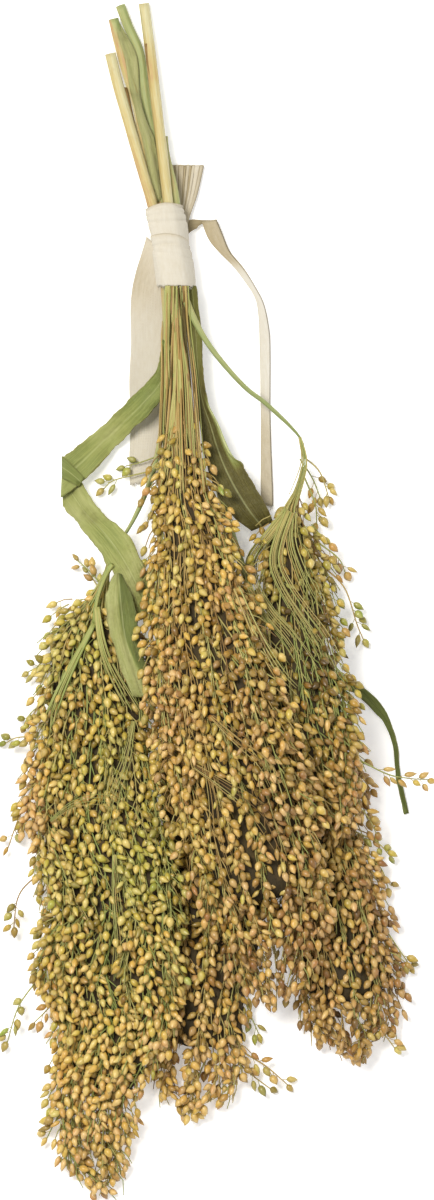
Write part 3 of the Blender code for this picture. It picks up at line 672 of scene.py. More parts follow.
# %% Dress the culms
CULM_TONES = {  # distance up the drawing, and how pale
    "back": [(60, 0.6), (112, 0.65), (142, 0.3), (190, 0.24), (215, 0.3)],
    "lower": [(-10, 0.3), (110, 0.32), (142, 0.42), (168, 0.5)],
    "right": [(55, 0.12), (90, 0.25), (110, 0.36), (142, 0.84), (170, 0.8), (182, 0.84), (188, 0.68), (198, 0.76),
              (205, 0.96), (216, 0.94)],
    "left": [(20, 0.2), (100, 0.25), (125, 0.45), (150, 0.55), (170, 0.62), (180, 0.7), (190, 0.58), (200, 0.5), (209, 0.3)],
    "front": [(80, 0.55), (105, 0.7), (142, 0.72), (170, 0.84), (197, 0.92)],
}
ACROSS = {"back": -0.05, "lower": -0.1, "right": 0.1, "left": -0.26, "front": 0.16}  # paler or greener to the right
for name, path in culm_paths.items():
    tones = [np.interp(path[:, 1], *zip(*CULM_TONES[name]))]
    culm = stalks("straw_" + name, [path], tones, CULM_SIDES)
    points = np.empty(len(culm.data.vertices) * 3, np.float32)
    culm.data.vertices.foreach_get("co", points)
    aside = points.reshape(-1, 3)[:, 0] * 1000 + DRAWN_MIDDLE[0] - np.repeat(path[:, 0], CULM_SIDES)
    shade = np.repeat(tones[0], CULM_SIDES) + ACROSS[name] * aside / np.repeat(path[:, 3], CULM_SIDES)
    culm.data.attributes["tone"].data.foreach_set("value", np.clip(shade, 0, 1).astype(np.float32))
    bm = bmesh.new()
    bm.from_mesh(culm.data)
    bm.faces.ensure_lookup_table()
    caps = [face for face in bm.faces if len(face.verts) == CULM_SIDES]
    end = max(caps, key=lambda face: face.calc_center_median().y)
    down = Vector(unit(metres(path[3, :3]) - metres(path[0, :3])))
    bmesh.ops.inset_region(bm, faces=[end], thickness=WALL / 1000, use_even_offset=True)
    deep = bmesh.ops.extrude_face_region(bm, geom=[end])
    bmesh.ops.delete(bm, geom=[end], context="FACES_ONLY")
    pushed = [item for item in deep["geom"] if isinstance(item, bmesh.types.BMVert)]
    bmesh.ops.translate(bm, vec=down * HOLLOW / 1000, verts=pushed)
    bmesh.ops.recalc_face_normals(bm, faces=bm.faces)
    bm.to_mesh(culm.data)
    bm.free()
    dress(culm, culm_finish, "culm_" + name)

# %% [markdown]
# ## The room inside a head
#
# A head's solid gives its outline, a furrowed shape with large grains. Rays felt across and along it give two smooth
# height fields, its underside and its top. A branch is then placed by three plain numbers: how far along the head it
# is, how far across from -1 to 1, and how high between underside and top.

# %% Middle lines of the heads, with half widths
HEADS = {
    "back": [
        (-4.3, 27.0, 3), (-2.2, 6.0, 12), (-1.5, -18.0, 19), (-1.0, -50.0, 21.5), (-1.0, -85.0, 21), (-2.0, -118.0, 18.5),
        (-4.0, -142.0, 14.5), (-6.0, -156.0, 16), (-6.5, -166.0, 18.5), (-8.0, -173.5, 17), (-9.0, -179.0, 12.5),
        (-9.5, -183.0, 5),
    ],
    "lower": [
        (19.4, -17.5, 3), (27.0, -40.0, 13), (35.5, -66.0, 18.5), (36.8, -82.0, 17), (38.5, -93.0, 17.5),
        (41.0, -103.0, 19.5), (42.0, -113.0, 20), (44.0, -125.0, 20.5), (46.5, -138.0, 21), (48.5, -149.0, 18.5),
        (49.0, -157.0, 14), (49.5, -161.5, 6),
    ],
    "right": [
        (31.3, 47.5, 2), (29.3, 39.5, 5), (26.5, 30.0, 8.5), (27.0, 12.0, 14.5), (28.0, -8.0, 15.5), (32.0, -33.0, 16.5),
        (38.0, -58.0, 14.5), (44.0, -78.0, 7),
    ],
    "left": [
        (-38.5, 14.3, 3), (-41.5, 3.0, 9), (-44.5, -10.0, 15.5), (-45.0, -25.0, 20), (-43.5, -40.0, 22.5),
        (-44.0, -52.0, 24), (-44.0, -66.0, 26.5), (-43.5, -80.0, 27.5), (-40.5, -92.0, 27), (-38.0, -104.0, 26.5),
        (-36.0, -113.0, 24.5), (-38.0, -124.0, 27), (-39.0, -134.0, 27.5), (-36.5, -145.0, 24.5), (-38.5, -156.0, 21.5),
        (-41.0, -167.0, 18.5), (-44.5, -178.0, 15.5), (-44.5, -190.0, 14.5), (-44.0, -199.0, 12.5), (-41.5, -206.0, 8),
        (-40.5, -212.0, 3.5),
    ],
    "front": [
        (-14.6, 113.5, 5), (-14.4, 96.0, 5.5), (-13.4, 78.8, 6.5), (-13.0, 61.0, 8.5), (-12.6, 50.0, 10.5),
        (-12.0, 35.6, 13.5), (-9.0, 21.0, 16.5), (-7.4, 2.0, 19.5), (-3.8, -18.0, 23.5), (3.6, -55.0, 25.5),
        (13.7, -90.4, 26), (18.4, -115.6, 21.5), (20.9, -139.0, 9),
    ],
}
CORE_SPAN = {"back": (0.1, 0.9), "lower": (0.1, 0.9), "right": (0.16, 0.86), "left": (0.1, 0.85), "front": (0.0, 0.88)}
CORE_WIDE = {"back": 0.92, "left": 0.74}  # share of the head's width, 0.62 in the others
COLUMNS = 17
SEAM_INSET = 1.7  # half the thickness of a husk, which stays inside the head's skin


class Room:
    """The space of one head, read by distance along it and share across it."""

    def __init__(self, name):
        self.line = smooth_path(HEADS[name], 3.0)
        self.length = distance_along(self.line)[-1]
        self.step = self.length / (len(self.line) - 1)
        ways = unit(np.gradient(self.line[:, :2], axis=0))
        self.across = np.column_stack([ways[:, 1], -ways[:, 0]])
        shares = np.linspace(-1, 1, COLUMNS)
        skin = np.full((len(self.line), COLUMNS, 2), np.nan)
        for row, (x, y, wide) in enumerate(self.line):
            for column, share in enumerate(shares):
                side = self.across[row] * wide * share * 0.97
                skin[row, column] = underside_and_top("head_" + name, x + side[0], y + side[1])
        for side in (0, 1):
            for row in range(len(self.line)):
                skin[row, :, side] = filled(skin[row, :, side])
            for column in range(COLUMNS):
                skin[:, column, side] = filled(skin[:, column, side])
        self.under = -self.swollen(-skin[:, :, 0])
        self.top = self.swollen(skin[:, :, 1])

    @staticmethod
    def swollen(heights):
        """The heights with their furrows filled, then eased."""
        for _ in range(2):
            padded = np.pad(heights, 1, "edge")
            around = np.stack([
                padded[i : i + heights.shape[0], j : j + heights.shape[1]] for i in range(3) for j in range(3)
            ])
            heights = 0.5 * (around.max(axis=0) + around.mean(axis=0))
        return heights

    def covers(self, point, near, beyond=0.6):
        """Whether a point that is about this far along lies within the outline, or this little beyond it."""
        rows = self.line[max(0, int(near / self.step) - 4) : int(near / self.step) + 5]
        if not len(rows):
            return False
        apart = (rows[:, 0] - point[0]) ** 2 + (rows[:, 1] - point[1]) ** 2
        return apart.min() < (rows[apart.argmin(), 2] + beyond) ** 2

    def read(self, along, share):
        """Place on the floor, underside, top and the direction across, for arrays of distances and shares."""
        row = np.clip(along / self.step, 0, len(self.line) - 1.001)
        column = (np.clip(share, -1, 1) + 1) / 2 * (COLUMNS - 1.001)
        r, c = row.astype(int), column.astype(int)
        fr, fc = row - r, column - c

        def mixed(field):
            near = field[r, c] * (1 - fc) + field[r, c + 1] * fc
            return near * (1 - fr) + (field[r + 1, c] * (1 - fc) + field[r + 1, c + 1] * fc) * fr

        line = self.line[r] * (1 - fr)[:, None] + self.line[r + 1] * fr[:, None]
        across = unit(self.across[r] * (1 - fr)[:, None] + self.across[r + 1] * fr[:, None])
        place = line[:, :2] + across * (line[:, 2] * share)[:, None]
        return place, mixed(self.under), mixed(self.top)


rooms = {name: Room(name) for name in HEADS}
for name, room in rooms.items():
    print(name, "length", round(room.length), "mm, up to", round(float(room.top.max()), 1), "mm high")

# %% [markdown]
# ## Branches
#
# In a nodding panicle the long branches leave the main stalk one after another, spread, and then hang side by side in
# strings. Each branch keeps its own share across and its own height in the head, apart from a slow sway. The outer
# ones are laid close together, since they are what one sees, and fewer fill the inside.

# %% Branch paths
BRANCH_STEP = 2.5
KEPT_BACK = 2.6  # millimetres that branches keep from the outline, because branchlets and husks reach beyond them
SPREADS_IN = 34.0  # millimetres from leaving the main stalk to hanging in its own place
HABITS = {  # millimetres between strings, degrees that branchlets lean out, their length, first and last that bears
    "front": (5.4, 18, 7.5, 55.0), "left": (5.8, 34, 9.5, 10.0), "right": (5.4, 30, 9.0, 12.0),
    "lower": (5.8, 24, 8.5, 8.0), "back": (6.0, 24, 8.5, 6.0),
}


def sway(count, rng, slow):
    """A slow wander about zero, of height about one."""
    walk = np.interp(np.arange(count), np.linspace(0, count, slow), rng.normal(0, 0.6, slow))
    return np.convolve(np.pad(walk, 3, "edge"), np.ones(7) / 7, "valid")


def scattered(value, spread, rng):
    """A number from 0 to 1 near this one."""
    return float(np.clip(value + rng.normal(0, spread), 0, 1))


def square_to(way, turn):
    """The direction square to a way, turned about it from level."""
    level = unit(np.cross(way, (0, 0, 1)))
    return level * math.cos(turn) + np.cross(level, way) * math.sin(turn)


def branch(room, root, tip, ring, turn, rng):
    """One branch, from `root` to `tip` along the head, at a ring from 0 (middle) to 1 (skin) and a turn about it."""
    along = np.arange(root, tip + BRANCH_STEP, BRANCH_STEP)
    out = 0.25 + 0.75 * smoothstep((along - root) / SPREADS_IN)
    share = ring * math.cos(turn) * out + 0.06 * sway(len(along), rng, 8) * out
    share *= 1 + 0.1 * smoothstep((along - tip + 22) / 22)
    wide = np.interp(along / room.step, np.arange(len(room.line)), room.line[:, 2])
    share *= np.maximum(1 - KEPT_BACK / wide, 0.35)
    lift = ring * math.sin(turn) / math.sqrt(max(1 - (ring * math.cos(turn)) ** 2, 0.05))
    lift = np.clip(lift, -1, 1) * out + 0.08 * sway(len(along), rng, 7) * out
    place, under, top = room.read(along, share)
    low, high = under + SEAM_INSET, top - SEAM_INSET
    low, high = np.minimum(low, (low + high) / 2), np.maximum(high, (low + high) / 2)
    height = (low + high) / 2 + (high - low) / 2 * np.clip(lift, -1, 1)
    return np.column_stack([place, height, top])


def branches_of(name, rng):
    """All branches of a head, with how deep each lies and where along the head it starts."""
    room = rooms[name]
    widest = room.line[:, 2].max()
    thickest = float((room.top - room.under).max())
    around = math.pi * (1.5 * (widest + thickest / 2) - math.sqrt(widest * thickest / 2))
    found = []
    for ring, gap in ((0.86, HABITS[name][0]), (0.56, HABITS[name][0] * 1.7)):
        count = round(around * ring / gap)
        for number in range(count):
            turn = 2 * math.pi * (number + rng.uniform(-0.35, 0.35)) / count
            for first, last in ((0.0, 0.5), (0.2, 0.78), (0.42, 1.0)):
                root = room.length * max(0.0, first + rng.uniform(-0.12, 0.08))
                tip = room.length * min(1.0, last + rng.uniform(-0.14, 0.06))
                found.append((branch(room, root, tip, ring, turn + rng.uniform(-0.12, 0.12), rng), ring, root))
    return found


# %% [markdown]
# ## One husk
#
# The husk starts as a sphere of six segments, which is pulled to an egg with a point. A thin three-sided stalk is
# bridged to its foot. It has under sixty triangles, because thousands of copies of it follow.

# %% Model one husk with its stalk
HUSK_RINGS = [(0.0, 0.0), (0.13, 0.66), (0.38, 1.0), (0.66, 0.78), (0.88, 0.3), (1.0, 0.0)]  # from foot to point
bm = bmesh.new()
bmesh.ops.create_uvsphere(bm, u_segments=6, v_segments=5, radius=1)
for vertex in bm.verts:
    ring = round(5 * math.acos(max(-1, min(1, -vertex.co.z))) / math.pi)
    high, wide = HUSK_RINGS[ring]
    flat = Vector(vertex.co.xy)
    flat = flat.normalized() * wide if flat.length > 1e-6 else flat
    vertex.co = (flat.x * 0.5, flat.y * 0.43, high - 0.5)
foot_end = bmesh.ops.create_circle(bm, cap_ends=True, segments=3, radius=0.05)["verts"]
bmesh.ops.translate(bm, vec=(0, 0, -0.47), verts=foot_end)
far_end = bmesh.ops.create_circle(bm, cap_ends=True, segments=3, radius=0.045)["verts"]
bmesh.ops.translate(bm, vec=(0, 0, -0.9), verts=far_end)
stalk = foot_end + far_end
rims = [edge for edge in bm.edges if all(vertex in stalk for vertex in edge.verts)]
bmesh.ops.bridge_loops(bm, edges=rims)
bmesh.ops.recalc_face_normals(bm, faces=bm.faces)
bm.verts.index_update()
husk_form = np.array([vertex.co for vertex in bm.verts])
husk_faces = [[vertex.index for vertex in face.verts] for face in bm.faces]
far_points = [vertex.index for vertex in far_end]
bm.free()
along_form = np.clip(husk_form[:, 2] + 0.5, 0, 1)
nerve_form = (np.round(np.degrees(np.arctan2(husk_form[:, 1], husk_form[:, 0])) / 60) % 2 == 0) * (along_form > 0.05)
print("one husk:", len(husk_form), "points,", sum(len(face) - 2 for face in husk_faces), "triangles")

# %% [markdown]
# ## Thousands of husks
#
# Copying a husk ten thousand times through Blender's operators would take minutes, and instances don't survive an
# export. So the one husk's points are turned and moved with numpy, all at once, and written as one mesh. The copies
# never crowd: a new husk is only kept where no other is closer than about its own width. Some are slim with longer
# points, most are plump.

# %% Copy husks onto places
HUSK_LENGTH, HUSK_WIDTH = 4.25, 3.1
NEAREST = 2.42
DEEP = 6.5  # this far below the top of the bunch hardly a husk is seen


class Crowd:
    """The husks so far, kept in boxes of space so that near ones are found at once."""

    def __init__(self, least):
        self.least = least
        self.boxes = {}

    def takes(self, point):
        """Whether a husk fits here. If it does, it is remembered."""
        scaled = (point[0], point[1] * 0.85, point[2])
        key = tuple(int(value // self.least) for value in scaled)
        for dx in (-1, 0, 1):
            for dy in (-1, 0, 1):
                for dz in (-1, 0, 1):
                    for x, y, z in self.boxes.get((key[0] + dx, key[1] + dy, key[2] + dz), ()):
                        if (x - scaled[0]) ** 2 + (y - scaled[1]) ** 2 + (z - scaled[2]) ** 2 < self.least**2:
                            return False
        self.boxes.setdefault(key, []).append(scaled)
        return True


def husks(name, feet, roots, ways, ripe, shade, rng):
    """Copies of the husk whose feet are here, that point along `ways`, with stalks from `roots`."""
    count = len(feet)
    size = rng.uniform(0.84, 1.1, count)[:, None]
    slim = np.where(rng.uniform(0, 1, count) < 0.22, 0.7, rng.uniform(0.86, 1.06, count))
    ways = unit(ways)
    sideways = unit(np.cross(ways, unit(rng.normal(0, 1, (count, 3)))))
    third = np.cross(ways, sideways)
    form = husk_form * np.array([HUSK_WIDTH, HUSK_WIDTH, HUSK_LENGTH])
    wide = slim[:, None, None]
    tall = (1.0 + 0.35 * (1 - slim))[:, None, None]
    centres = feet + ways * HUSK_LENGTH / 2 * size
    turned = (form[:, 0, None] * sideways[:, None] + form[:, 1, None] * third[:, None]) * wide
    points = centres[:, None] + (turned + form[:, 2, None] * ways[:, None] * tall) * size[:, None]
    stalk_end = form[far_points] - form[far_points].mean(axis=0)
    points[:, far_points] = (roots[:, None] + stalk_end[:, 0, None] * sideways[:, None]
                             + stalk_end[:, 1, None] * third[:, None])
    mesh = bpy.data.meshes.new(name)
    faces = [[corner + copy * len(form) for corner in face] for copy in range(count) for face in husk_faces]
    mesh.from_pydata(metres(points.reshape(-1, 3)), [], faces)
    told = np.empty((count, len(form), 4), np.float32)
    told[:, :, 0] = ripe[:, None]
    told[:, :, 1] = shade[:, None]
    told[:, :, 2] = along_form
    told[:, :, 3] = nerve_form
    attribute = mesh.attributes.new("husk", "FLOAT_COLOR", "POINT")
    attribute.data.foreach_set("color", told.ravel())
    mesh.shade_smooth()
    piece = bpy.data.objects.new(name, mesh)
    scene.collection.objects.link(piece)
    return piece


# %% [markdown]
# ## Combed threads and dark openings
#
# In some places the branches lie bare on top of the husks, as if combed: the fan below the tie, the two bundles of the
# left head's stem, the bow of the right head. Elsewhere one looks between the strings into the dark. Few husks hang in
# either, so both are listed before the heads are filled.

# %% Where husks keep clear
BUNDLES = [  # name, places, threads, width at the start and end, thickness, tone
    ("groove_left", [(-33.3, 184.3), (-30.9, 173.9), (-28.0, 163.4), (-26.0, 156.6), (-24.2, 149.0)], 1, 0.1, 0.1, 0.95, 1.0),
    ("groove_right", [(-25.6, 200.5), (-24.9, 193.0), (-23.9, 186.0), (-22.7, 176.0), (-21.3, 164.0), (-20.3, 156.0)], 2,
     0.5, 0.8, 0.5, 1.0),
    ("front_fan", [(-14.8, 112.7), (-14.6, 96.0), (-13.6, 78.0), (-13.2, 60.0), (-12.4, 38.0)], 38, 8.6, 17.5, 0.42, 0.55),
    ("left_stem", [(-37.8, 12.4), (-40.6, 7.5), (-43.4, -1.0), (-44.6, -11.5)], 2, 0.5, 1.4, 0.95, 0.2),
    ("left_stem_out", [(-44.4, -9.0), (-50.6, -20.5), (-57.0, -33.5), (-63.0, -48.0)], 5, 1.2, 5.0, 0.6, 0.3),
    ("left_stem_in", [(-43.2, -3.0), (-41.8, -13.5), (-39.4, -22.0), (-35.0, -31.0), (-29.0, -41.5)], 6, 1.6, 5.5, 0.42, 0.35),
    ("right_fork", [(29.9, 58.3), (31.5, 50.0), (29.5, 41.0), (26.0, 32.0)], 6, 0.8, 6.0, 0.26, 0.3),
    ("right_bow_out", [(25.5, 32.0), (18.5, 23.0), (12.6, 14.5), (13.0, 5.0), (18.5, -5.0), (26.0, -14.0), (34.0, -26.0)], 14, 3.0, 8.0, 0.25, 0.42),
    ("right_bow_in", [(26.0, 31.5), (22.5, 22.0), (21.0, 13.0), (24.5, 4.0), (30.5, -5.5), (37.0, -15.0), (42.0, -26.0)], 12, 3.4, 8.0, 0.23, 0.42),
    ("right_bow_top", [(27.0, 31.0), (26.5, 21.0), (29.0, 12.0), (33.0, 3.0), (38.0, -6.0)], 6, 3.0, 6.0, 0.24, 0.34),
    ("front_right", [(7.0, 4.0), (12.0, -8.0), (17.5, -19.0), (24.0, -29.0), (33.0, -38.0)], 4, 2.5, 6.0, 0.36, 0.45),
    ("front_cross", [(-8.0, -60.0), (3.0, -67.0), (14.0, -75.0), (24.0, -87.0)], 5, 2.0, 12.0, 0.17, 0.75),
    ("front_cross_up", [(-2.0, -42.0), (7.0, -50.0), (17.0, -58.0), (25.0, -70.0)], 5, 1.5, 11.0, 0.17, 0.7),
    ("front_down", [(-4.0, -58.0), (-1.0, -72.0), (1.0, -88.0), (5.0, -104.0)], 5, 2.0, 10.0, 0.17, 0.8),
    ("left_cross", [(-60.0, -80.0), (-52.0, -74.0), (-42.0, -72.0), (-33.0, -75.0)], 4, 1.0, 6.0, 0.17, 0.35),
    ("left_down", [(-37.0, -92.0), (-36.5, -108.0), (-35.0, -124.0), (-36.0, -140.0)], 6, 1.5, 9.0, 0.2, 0.3),
    ("left_mid", [(-30.0, -44.0), (-33.0, -58.0), (-38.0, -72.0), (-41.0, -86.0)], 5, 1.5, 9.0, 0.2, 0.4),
]
OPENINGS = [  # x, y and reach
    (-13.8, 21.0, 2.4), (-13.2, 16.0, 3.0), (-12.4, 10.0, 2.2), (-8.5, 3.0, 2.0), (2.0, -8.0, 2.4), (4.0, -13.0, 2.0),
    (20.5, -11.0, 3.4), (24.0, -17.0, 5.4), (27.5, -23.0, 3.4), (15.0, -4.0, 2.6), (40.5, -11.0, 2.2), (41.0, -17.0, 2.2),
    (-19.5, -64.0, 2.4), (-18.6, -72.0, 3.2), (-17.8, -80.0, 3.6), (-17.4, -88.0, 3.6), (-17.0, -96.0, 3.8),
    (-16.4, -104.0, 3.8), (-15.8, -112.0, 3.6), (-14.6, -119.0, 3.0), (-30.0, -92.0, 2.2), (-42.0, -112.0, 2.0),
    (27.5, -73.0, 2.2), (29.0, -79.0, 2.6), (31.0, -86.0, 2.4), (22.0, -128.0, 3.4), (26.0, -136.0, 3.4),
    (-52.0, -58.0, 2.0), (-30.0, -46.0, 2.2), (-28.0, -37.0, 2.4), (44.0, -40.0, 2.2), (36.0, -62.0, 2.4),
    (-33.0, -130.0, 2.2), (-47.0, -140.0, 2.0), (-36.0, -158.0, 2.2), (8.0, -30.0, 2.0), (-14.0, -30.0, 2.0),
]
bare_spots = [(*opening, 0.95, 14.0) for opening in OPENINGS]  # with the chance of being bare, and how deep it goes
for label, places, count, narrow, wide, thick, tone in BUNDLES:
    path = smooth_path(places, 2.0)
    for (x, y), width in zip(path, np.linspace(narrow, wide, len(path))):
        bare_spots.append((x, y, width / 2 + 0.8, min(0.85, 4 * count * thick / width), 4.5))
bare_spots = np.array(bare_spots)


def bareness(x, y, depth):
    """The chance that a place this far below the top bears nothing."""
    near = (bare_spots[:, 0] - x) ** 2 + (bare_spots[:, 1] - y) ** 2 < bare_spots[:, 2] ** 2
    near &= bare_spots[:, 4] > depth
    return bare_spots[near, 3].max() if near.any() else 0.0


print("places kept clear:", len(bare_spots))

# %% [markdown]
# ## Hang the husks
#
# Every few millimetres a branch sends out a branchlet, left and right in turn. Each leans out, then droops along the
# branch, and bears a few husks on stalks of their own. The base of a branch is bare. How ripe a husk is depends on its
# head and on how far down it hangs, on its branch, on chance, and on patches that stayed green or dried brown. How
# dark it is depends on chance, on painted light and shade by head, and on patches that are darkened or lightened.

# %% Fill each head
RIPENESS = {  # along the head, from its stalk to its end
    "front": [(0.0, 0.36), (0.3, 0.44), (0.45, 0.55), (0.6, 0.6), (0.8, 0.64), (1.0, 0.78)],
    "left": [(0.0, 0.42), (0.3, 0.48), (0.5, 0.4), (0.62, 0.42), (0.8, 0.6), (1.0, 0.66)],
    "right": [(0.0, 0.26), (0.4, 0.38), (0.7, 0.55), (1.0, 0.66)],
    "lower": [(0.0, 0.6), (0.6, 0.7), (1.0, 0.72)],
    "back": [(0.0, 0.55), (0.7, 0.58), (1.0, 0.6)],
}
# The last column darkens or lightens patches of husks; the strong dark patch at 28, -24 is painted shade in the gap
# between the front and right heads.
PATCHES = [  # x, y, how far it reaches, ripeness, how dark
    (-70.0, -78.0, 12.0, 0.85, -0.05), (-25.0, -96.0, 20.0, 0.2, 0.0), (-38.0, -60.0, 14.0, 0.28, 0.0),
    (-18.0, -40.0, 9.0, 0.75, 0.0), (-6.0, -58.0, 10.0, 0.5, -0.08), (-5.0, -84.0, 10.0, 0.52, -0.08),
    (30.0, -4.0, 12.0, 0.2, 0.18), (28.0, -24.0, 17.0, 0.38, 0.6), (-45.0, -185.0, 26.0, 0.64, -0.24),
    (-40.0, -155.0, 18.0, 0.48, -0.24), (0.0, -175.0, 18.0, 0.66, -0.3), (44.0, -150.0, 18.0, 0.66, -0.05), (-50.0, -20.0, 14.0, 0.3, -0.06),
]
# Painted light and shade by head: lighter on the left head, darker on the heads further right, away from the key light.
HEAD_PAINTED_SHADE = {"front": -0.02, "left": -0.14, "right": 0.06, "lower": 0.1, "back": 0.0}
THREAD_TONES = {"front": 0.62, "left": 0.36, "right": 0.4, "lower": 0.62, "back": 0.6}  # from green to brown
BRANCHLET_STEP = 2.4
BARE = 9.0
FRINGE_STEP = 3.4
CLEARINGS = np.random.default_rng(11).uniform(0, 2 * math.pi, (6, 2))


def clearing(x, y):
    """From -1 to 1: a slow, stretched pattern over the bunch. Where it is high, the husks stand apart."""
    waves = [math.sin(x * (0.62 + 0.09 * n) + 0.03 * y * n + a) * math.sin(y * (0.3 + 0.05 * n) + b)
             for n, (a, b) in enumerate(CLEARINGS)]
    return sum(waves) / 2.2


def drift(x, y):
    """From about -1 to 1: how far the husks of a place are ahead in ripening."""
    return (math.sin(0.21 * x + 0.05 * y + 1.0) + math.sin(0.13 * y - 0.09 * x + 2.2) + math.sin(0.3 * x - 0.24 * y)) / 2.4


def ripeness(name, share, x, y, mood, gloom):
    """How ripe and how dark the husks are at a share of the head's length, above a place."""
    ripe = np.interp(share, *zip(*RIPENESS[name])) + mood + 0.09 * drift(x, y)
    dark = HEAD_PAINTED_SHADE[name] + gloom
    for patch_x, patch_y, far, patch_ripe, patch_dark in PATCHES:
        pull = math.exp(-((x - patch_x) ** 2 + (y - patch_y) ** 2) / far**2)
        ripe += (patch_ripe - ripe) * pull
        dark += patch_dark * pull
    return ripe, dark


def at(line, along, stop):
    """The rows of a path read at one distance along it."""
    return np.array([np.interp(stop, along, column) for column in line.T])


def fringe(name, own, crowd, paths, tones, hung):
    """Short branchlets that stand out of a head's outline. They are added to its threads and husks."""
    room = rooms[name]
    for stop in np.arange(HABITS[name][3] + 8, room.length - 3, FRINGE_STEP):
        for side in (-1, 1):
            start = stop + own.uniform(-3, 3)
            place, under, top = room.read(np.array([start, start + 3.0]), np.array([0.8 * side] * 2))
            height = own.uniform(0.25, 0.75)
            here = np.array([*place[0], under[0] * (1 - height) + top[0] * height])
            tangent = unit(np.array([*(place[1] - place[0]), 0.0]))
            out = side * np.array([tangent[1], -tangent[0], 0.0])
            wide = float(np.interp(start / room.step, np.arange(len(room.line)), room.line[:, 2]))
            slant = math.radians(own.uniform(18, 58))
            long = own.uniform(2.5, 6.5) + 0.16 * wide
            leaving = tangent * math.cos(slant) + out * math.sin(slant) + [0, 0, own.uniform(-0.15, 0.1)]
            middle = here + leaving * long * 0.5
            end = middle + unit(leaving + tangent * 0.6) * long * 0.5
            paths.append(np.column_stack([[here, middle, end], [0.24, 0.2, 0.16]]))
            tones.append(scattered(THREAD_TONES[name], 0.2, own))
            ripe = np.interp(min(start / room.length, 1.0), *zip(*RIPENESS[name])) + own.normal(0, 0.15)
            ending = unit(end - middle)
            for number in range(own.integers(2, 5)):
                foot_from = end + (middle - end) * number * 0.42
                apart = out * own.uniform(-1, 1) + [0, 0, own.uniform(-0.5, 0.5)]
                lean = unit(ending + (0.1 if number == 0 else 1.0) * apart)
                foot = foot_from + unit(ending * 0.6 + apart) * (0.2 if number == 0 else own.uniform(1.0, 2.2))
                centre = foot + lean * HUSK_LENGTH / 2
                if centre[2] > 2 and room.covers(centre, start + long, 2.6) and crowd.takes(centre):
                    shade = (ripe + own.normal(0, 0.1), own.normal(0.78, 0.15) - HEAD_PAINTED_SHADE[name])
                    hung.append((*foot, *foot_from, *lean, *shade))


def grow_head(name):
    """The husks and the threads of one head."""
    room = rooms[name]
    own = np.random.default_rng(100 + sorted(HEADS).index(name))
    crowd = Crowd(NEAREST)
    _, lean_out, reach, first_husk = HABITS[name]
    paths, tones, hung = [], [], []
    main_stalk = branch(room, 0, room.length * 0.7, 0.0, 0.0, own)[:, :3]
    paths.append(np.column_stack([main_stalk, np.linspace(1.0, 0.35, len(main_stalk))]))
    tones.append(0.4)
    for line, ring, root in branches_of(name, own):
        mood, gloom = own.normal(0, 0.08), own.normal(0, 0.07)
        thread_tone = scattered(THREAD_TONES[name], 0.2, own)
        thick = 0.42 if root < 20 else 0.34
        paths.append(np.column_stack([line[:, :3], np.linspace(thick, 0.16, len(line))]))
        tones.append(thread_tone)
        along = distance_along(line)
        way = unit(np.gradient(line[:, :3], axis=0))
        side = own.uniform(0, 2 * math.pi)
        start = max(BARE + 8 * own.uniform(), first_husk + 6 * own.normal() - root)
        for stop in np.arange(min(start, along[-1] * 0.6), along[-1] + 0.1, BRANCHLET_STEP):
            here, tangent = at(line, along, stop), at(way, along, stop)
            side += math.pi + own.uniform(-0.9, 0.9)
            out = square_to(tangent, side)
            slant = math.radians(lean_out * own.uniform(0.6, 1.5))
            long = reach * own.uniform(0.55, 1.25)
            leaving = tangent * math.cos(slant) + out * math.sin(slant)
            ending = unit(tangent + out * math.sin(slant) * 0.35)
            middle = here[:3] + leaving * long * 0.5
            end = middle + ending * long * 0.5
            used = False
            for part in np.arange(1.6, long + 0.1, 1.5):
                share = part / long
                foot_from = here[:3] + (middle - here[:3]) * min(share, 0.5) * 2
                foot_from = foot_from + (end - middle) * max(share - 0.5, 0) * 2
                apart = square_to(tangent, own.uniform(0, 2 * math.pi))
                last = part > long - 1.5
                lean = unit(ending + apart * (0.15 if last else own.uniform(0.3, 1.35)) + own.normal(0, 0.22, 3))
                foot = foot_from + unit(ending * 0.7 + apart) * (0.3 if last else own.uniform(0.8, 1.9))
                centre = foot + lean * HUSK_LENGTH / 2
                if centre[2] > here[3] + 1.2:
                    continue
                centre[2] = max(centre[2], SEAM_INSET + 0.1)
                foot = centre - lean * HUSK_LENGTH / 2
                depth = highest(*centre[:2]) - centre[2]
                skipped = 0.62 if depth > DEEP else 0.8 * (clearing(*centre[:2]) > 0.55)
                skipped = max(skipped, bareness(*centre[:2], depth))
                if foot[2] < 0.9 or own.uniform() < skipped or not room.covers(centre, root + stop + part):
                    continue
                if not crowd.takes(centre):
                    continue
                ripe, dark = ripeness(name, (root + stop) / room.length, *centre[:2], mood, gloom)
                hung.append((*foot, *foot_from, *lean, ripe + own.normal(0, 0.08), own.normal(0.75, 0.22) - dark))
                used = True
            if used:
                wayside = np.array([here[:3], middle, end])
                paths.append(np.column_stack([wayside, [0.22, 0.19, 0.15]]))
                tones.append(thread_tone)
    fringe(name, own, crowd, paths, tones, hung)
    hung = np.array(hung)
    piece = husks("grains_" + name, hung[:, 0:3], hung[:, 3:6], hung[:, 6:9], *np.clip(hung[:, 9:].T, 0, 1), own)
    return piece, stalks("branches_" + name, paths, tones)


for name in HEADS:
    grains, threads = grow_head(name)
    dress(grains, husk_finish, "head_" + name)
    dress(threads, thread_finish)
    print(name, len(grains.data.vertices) // len(husk_form), "husks")
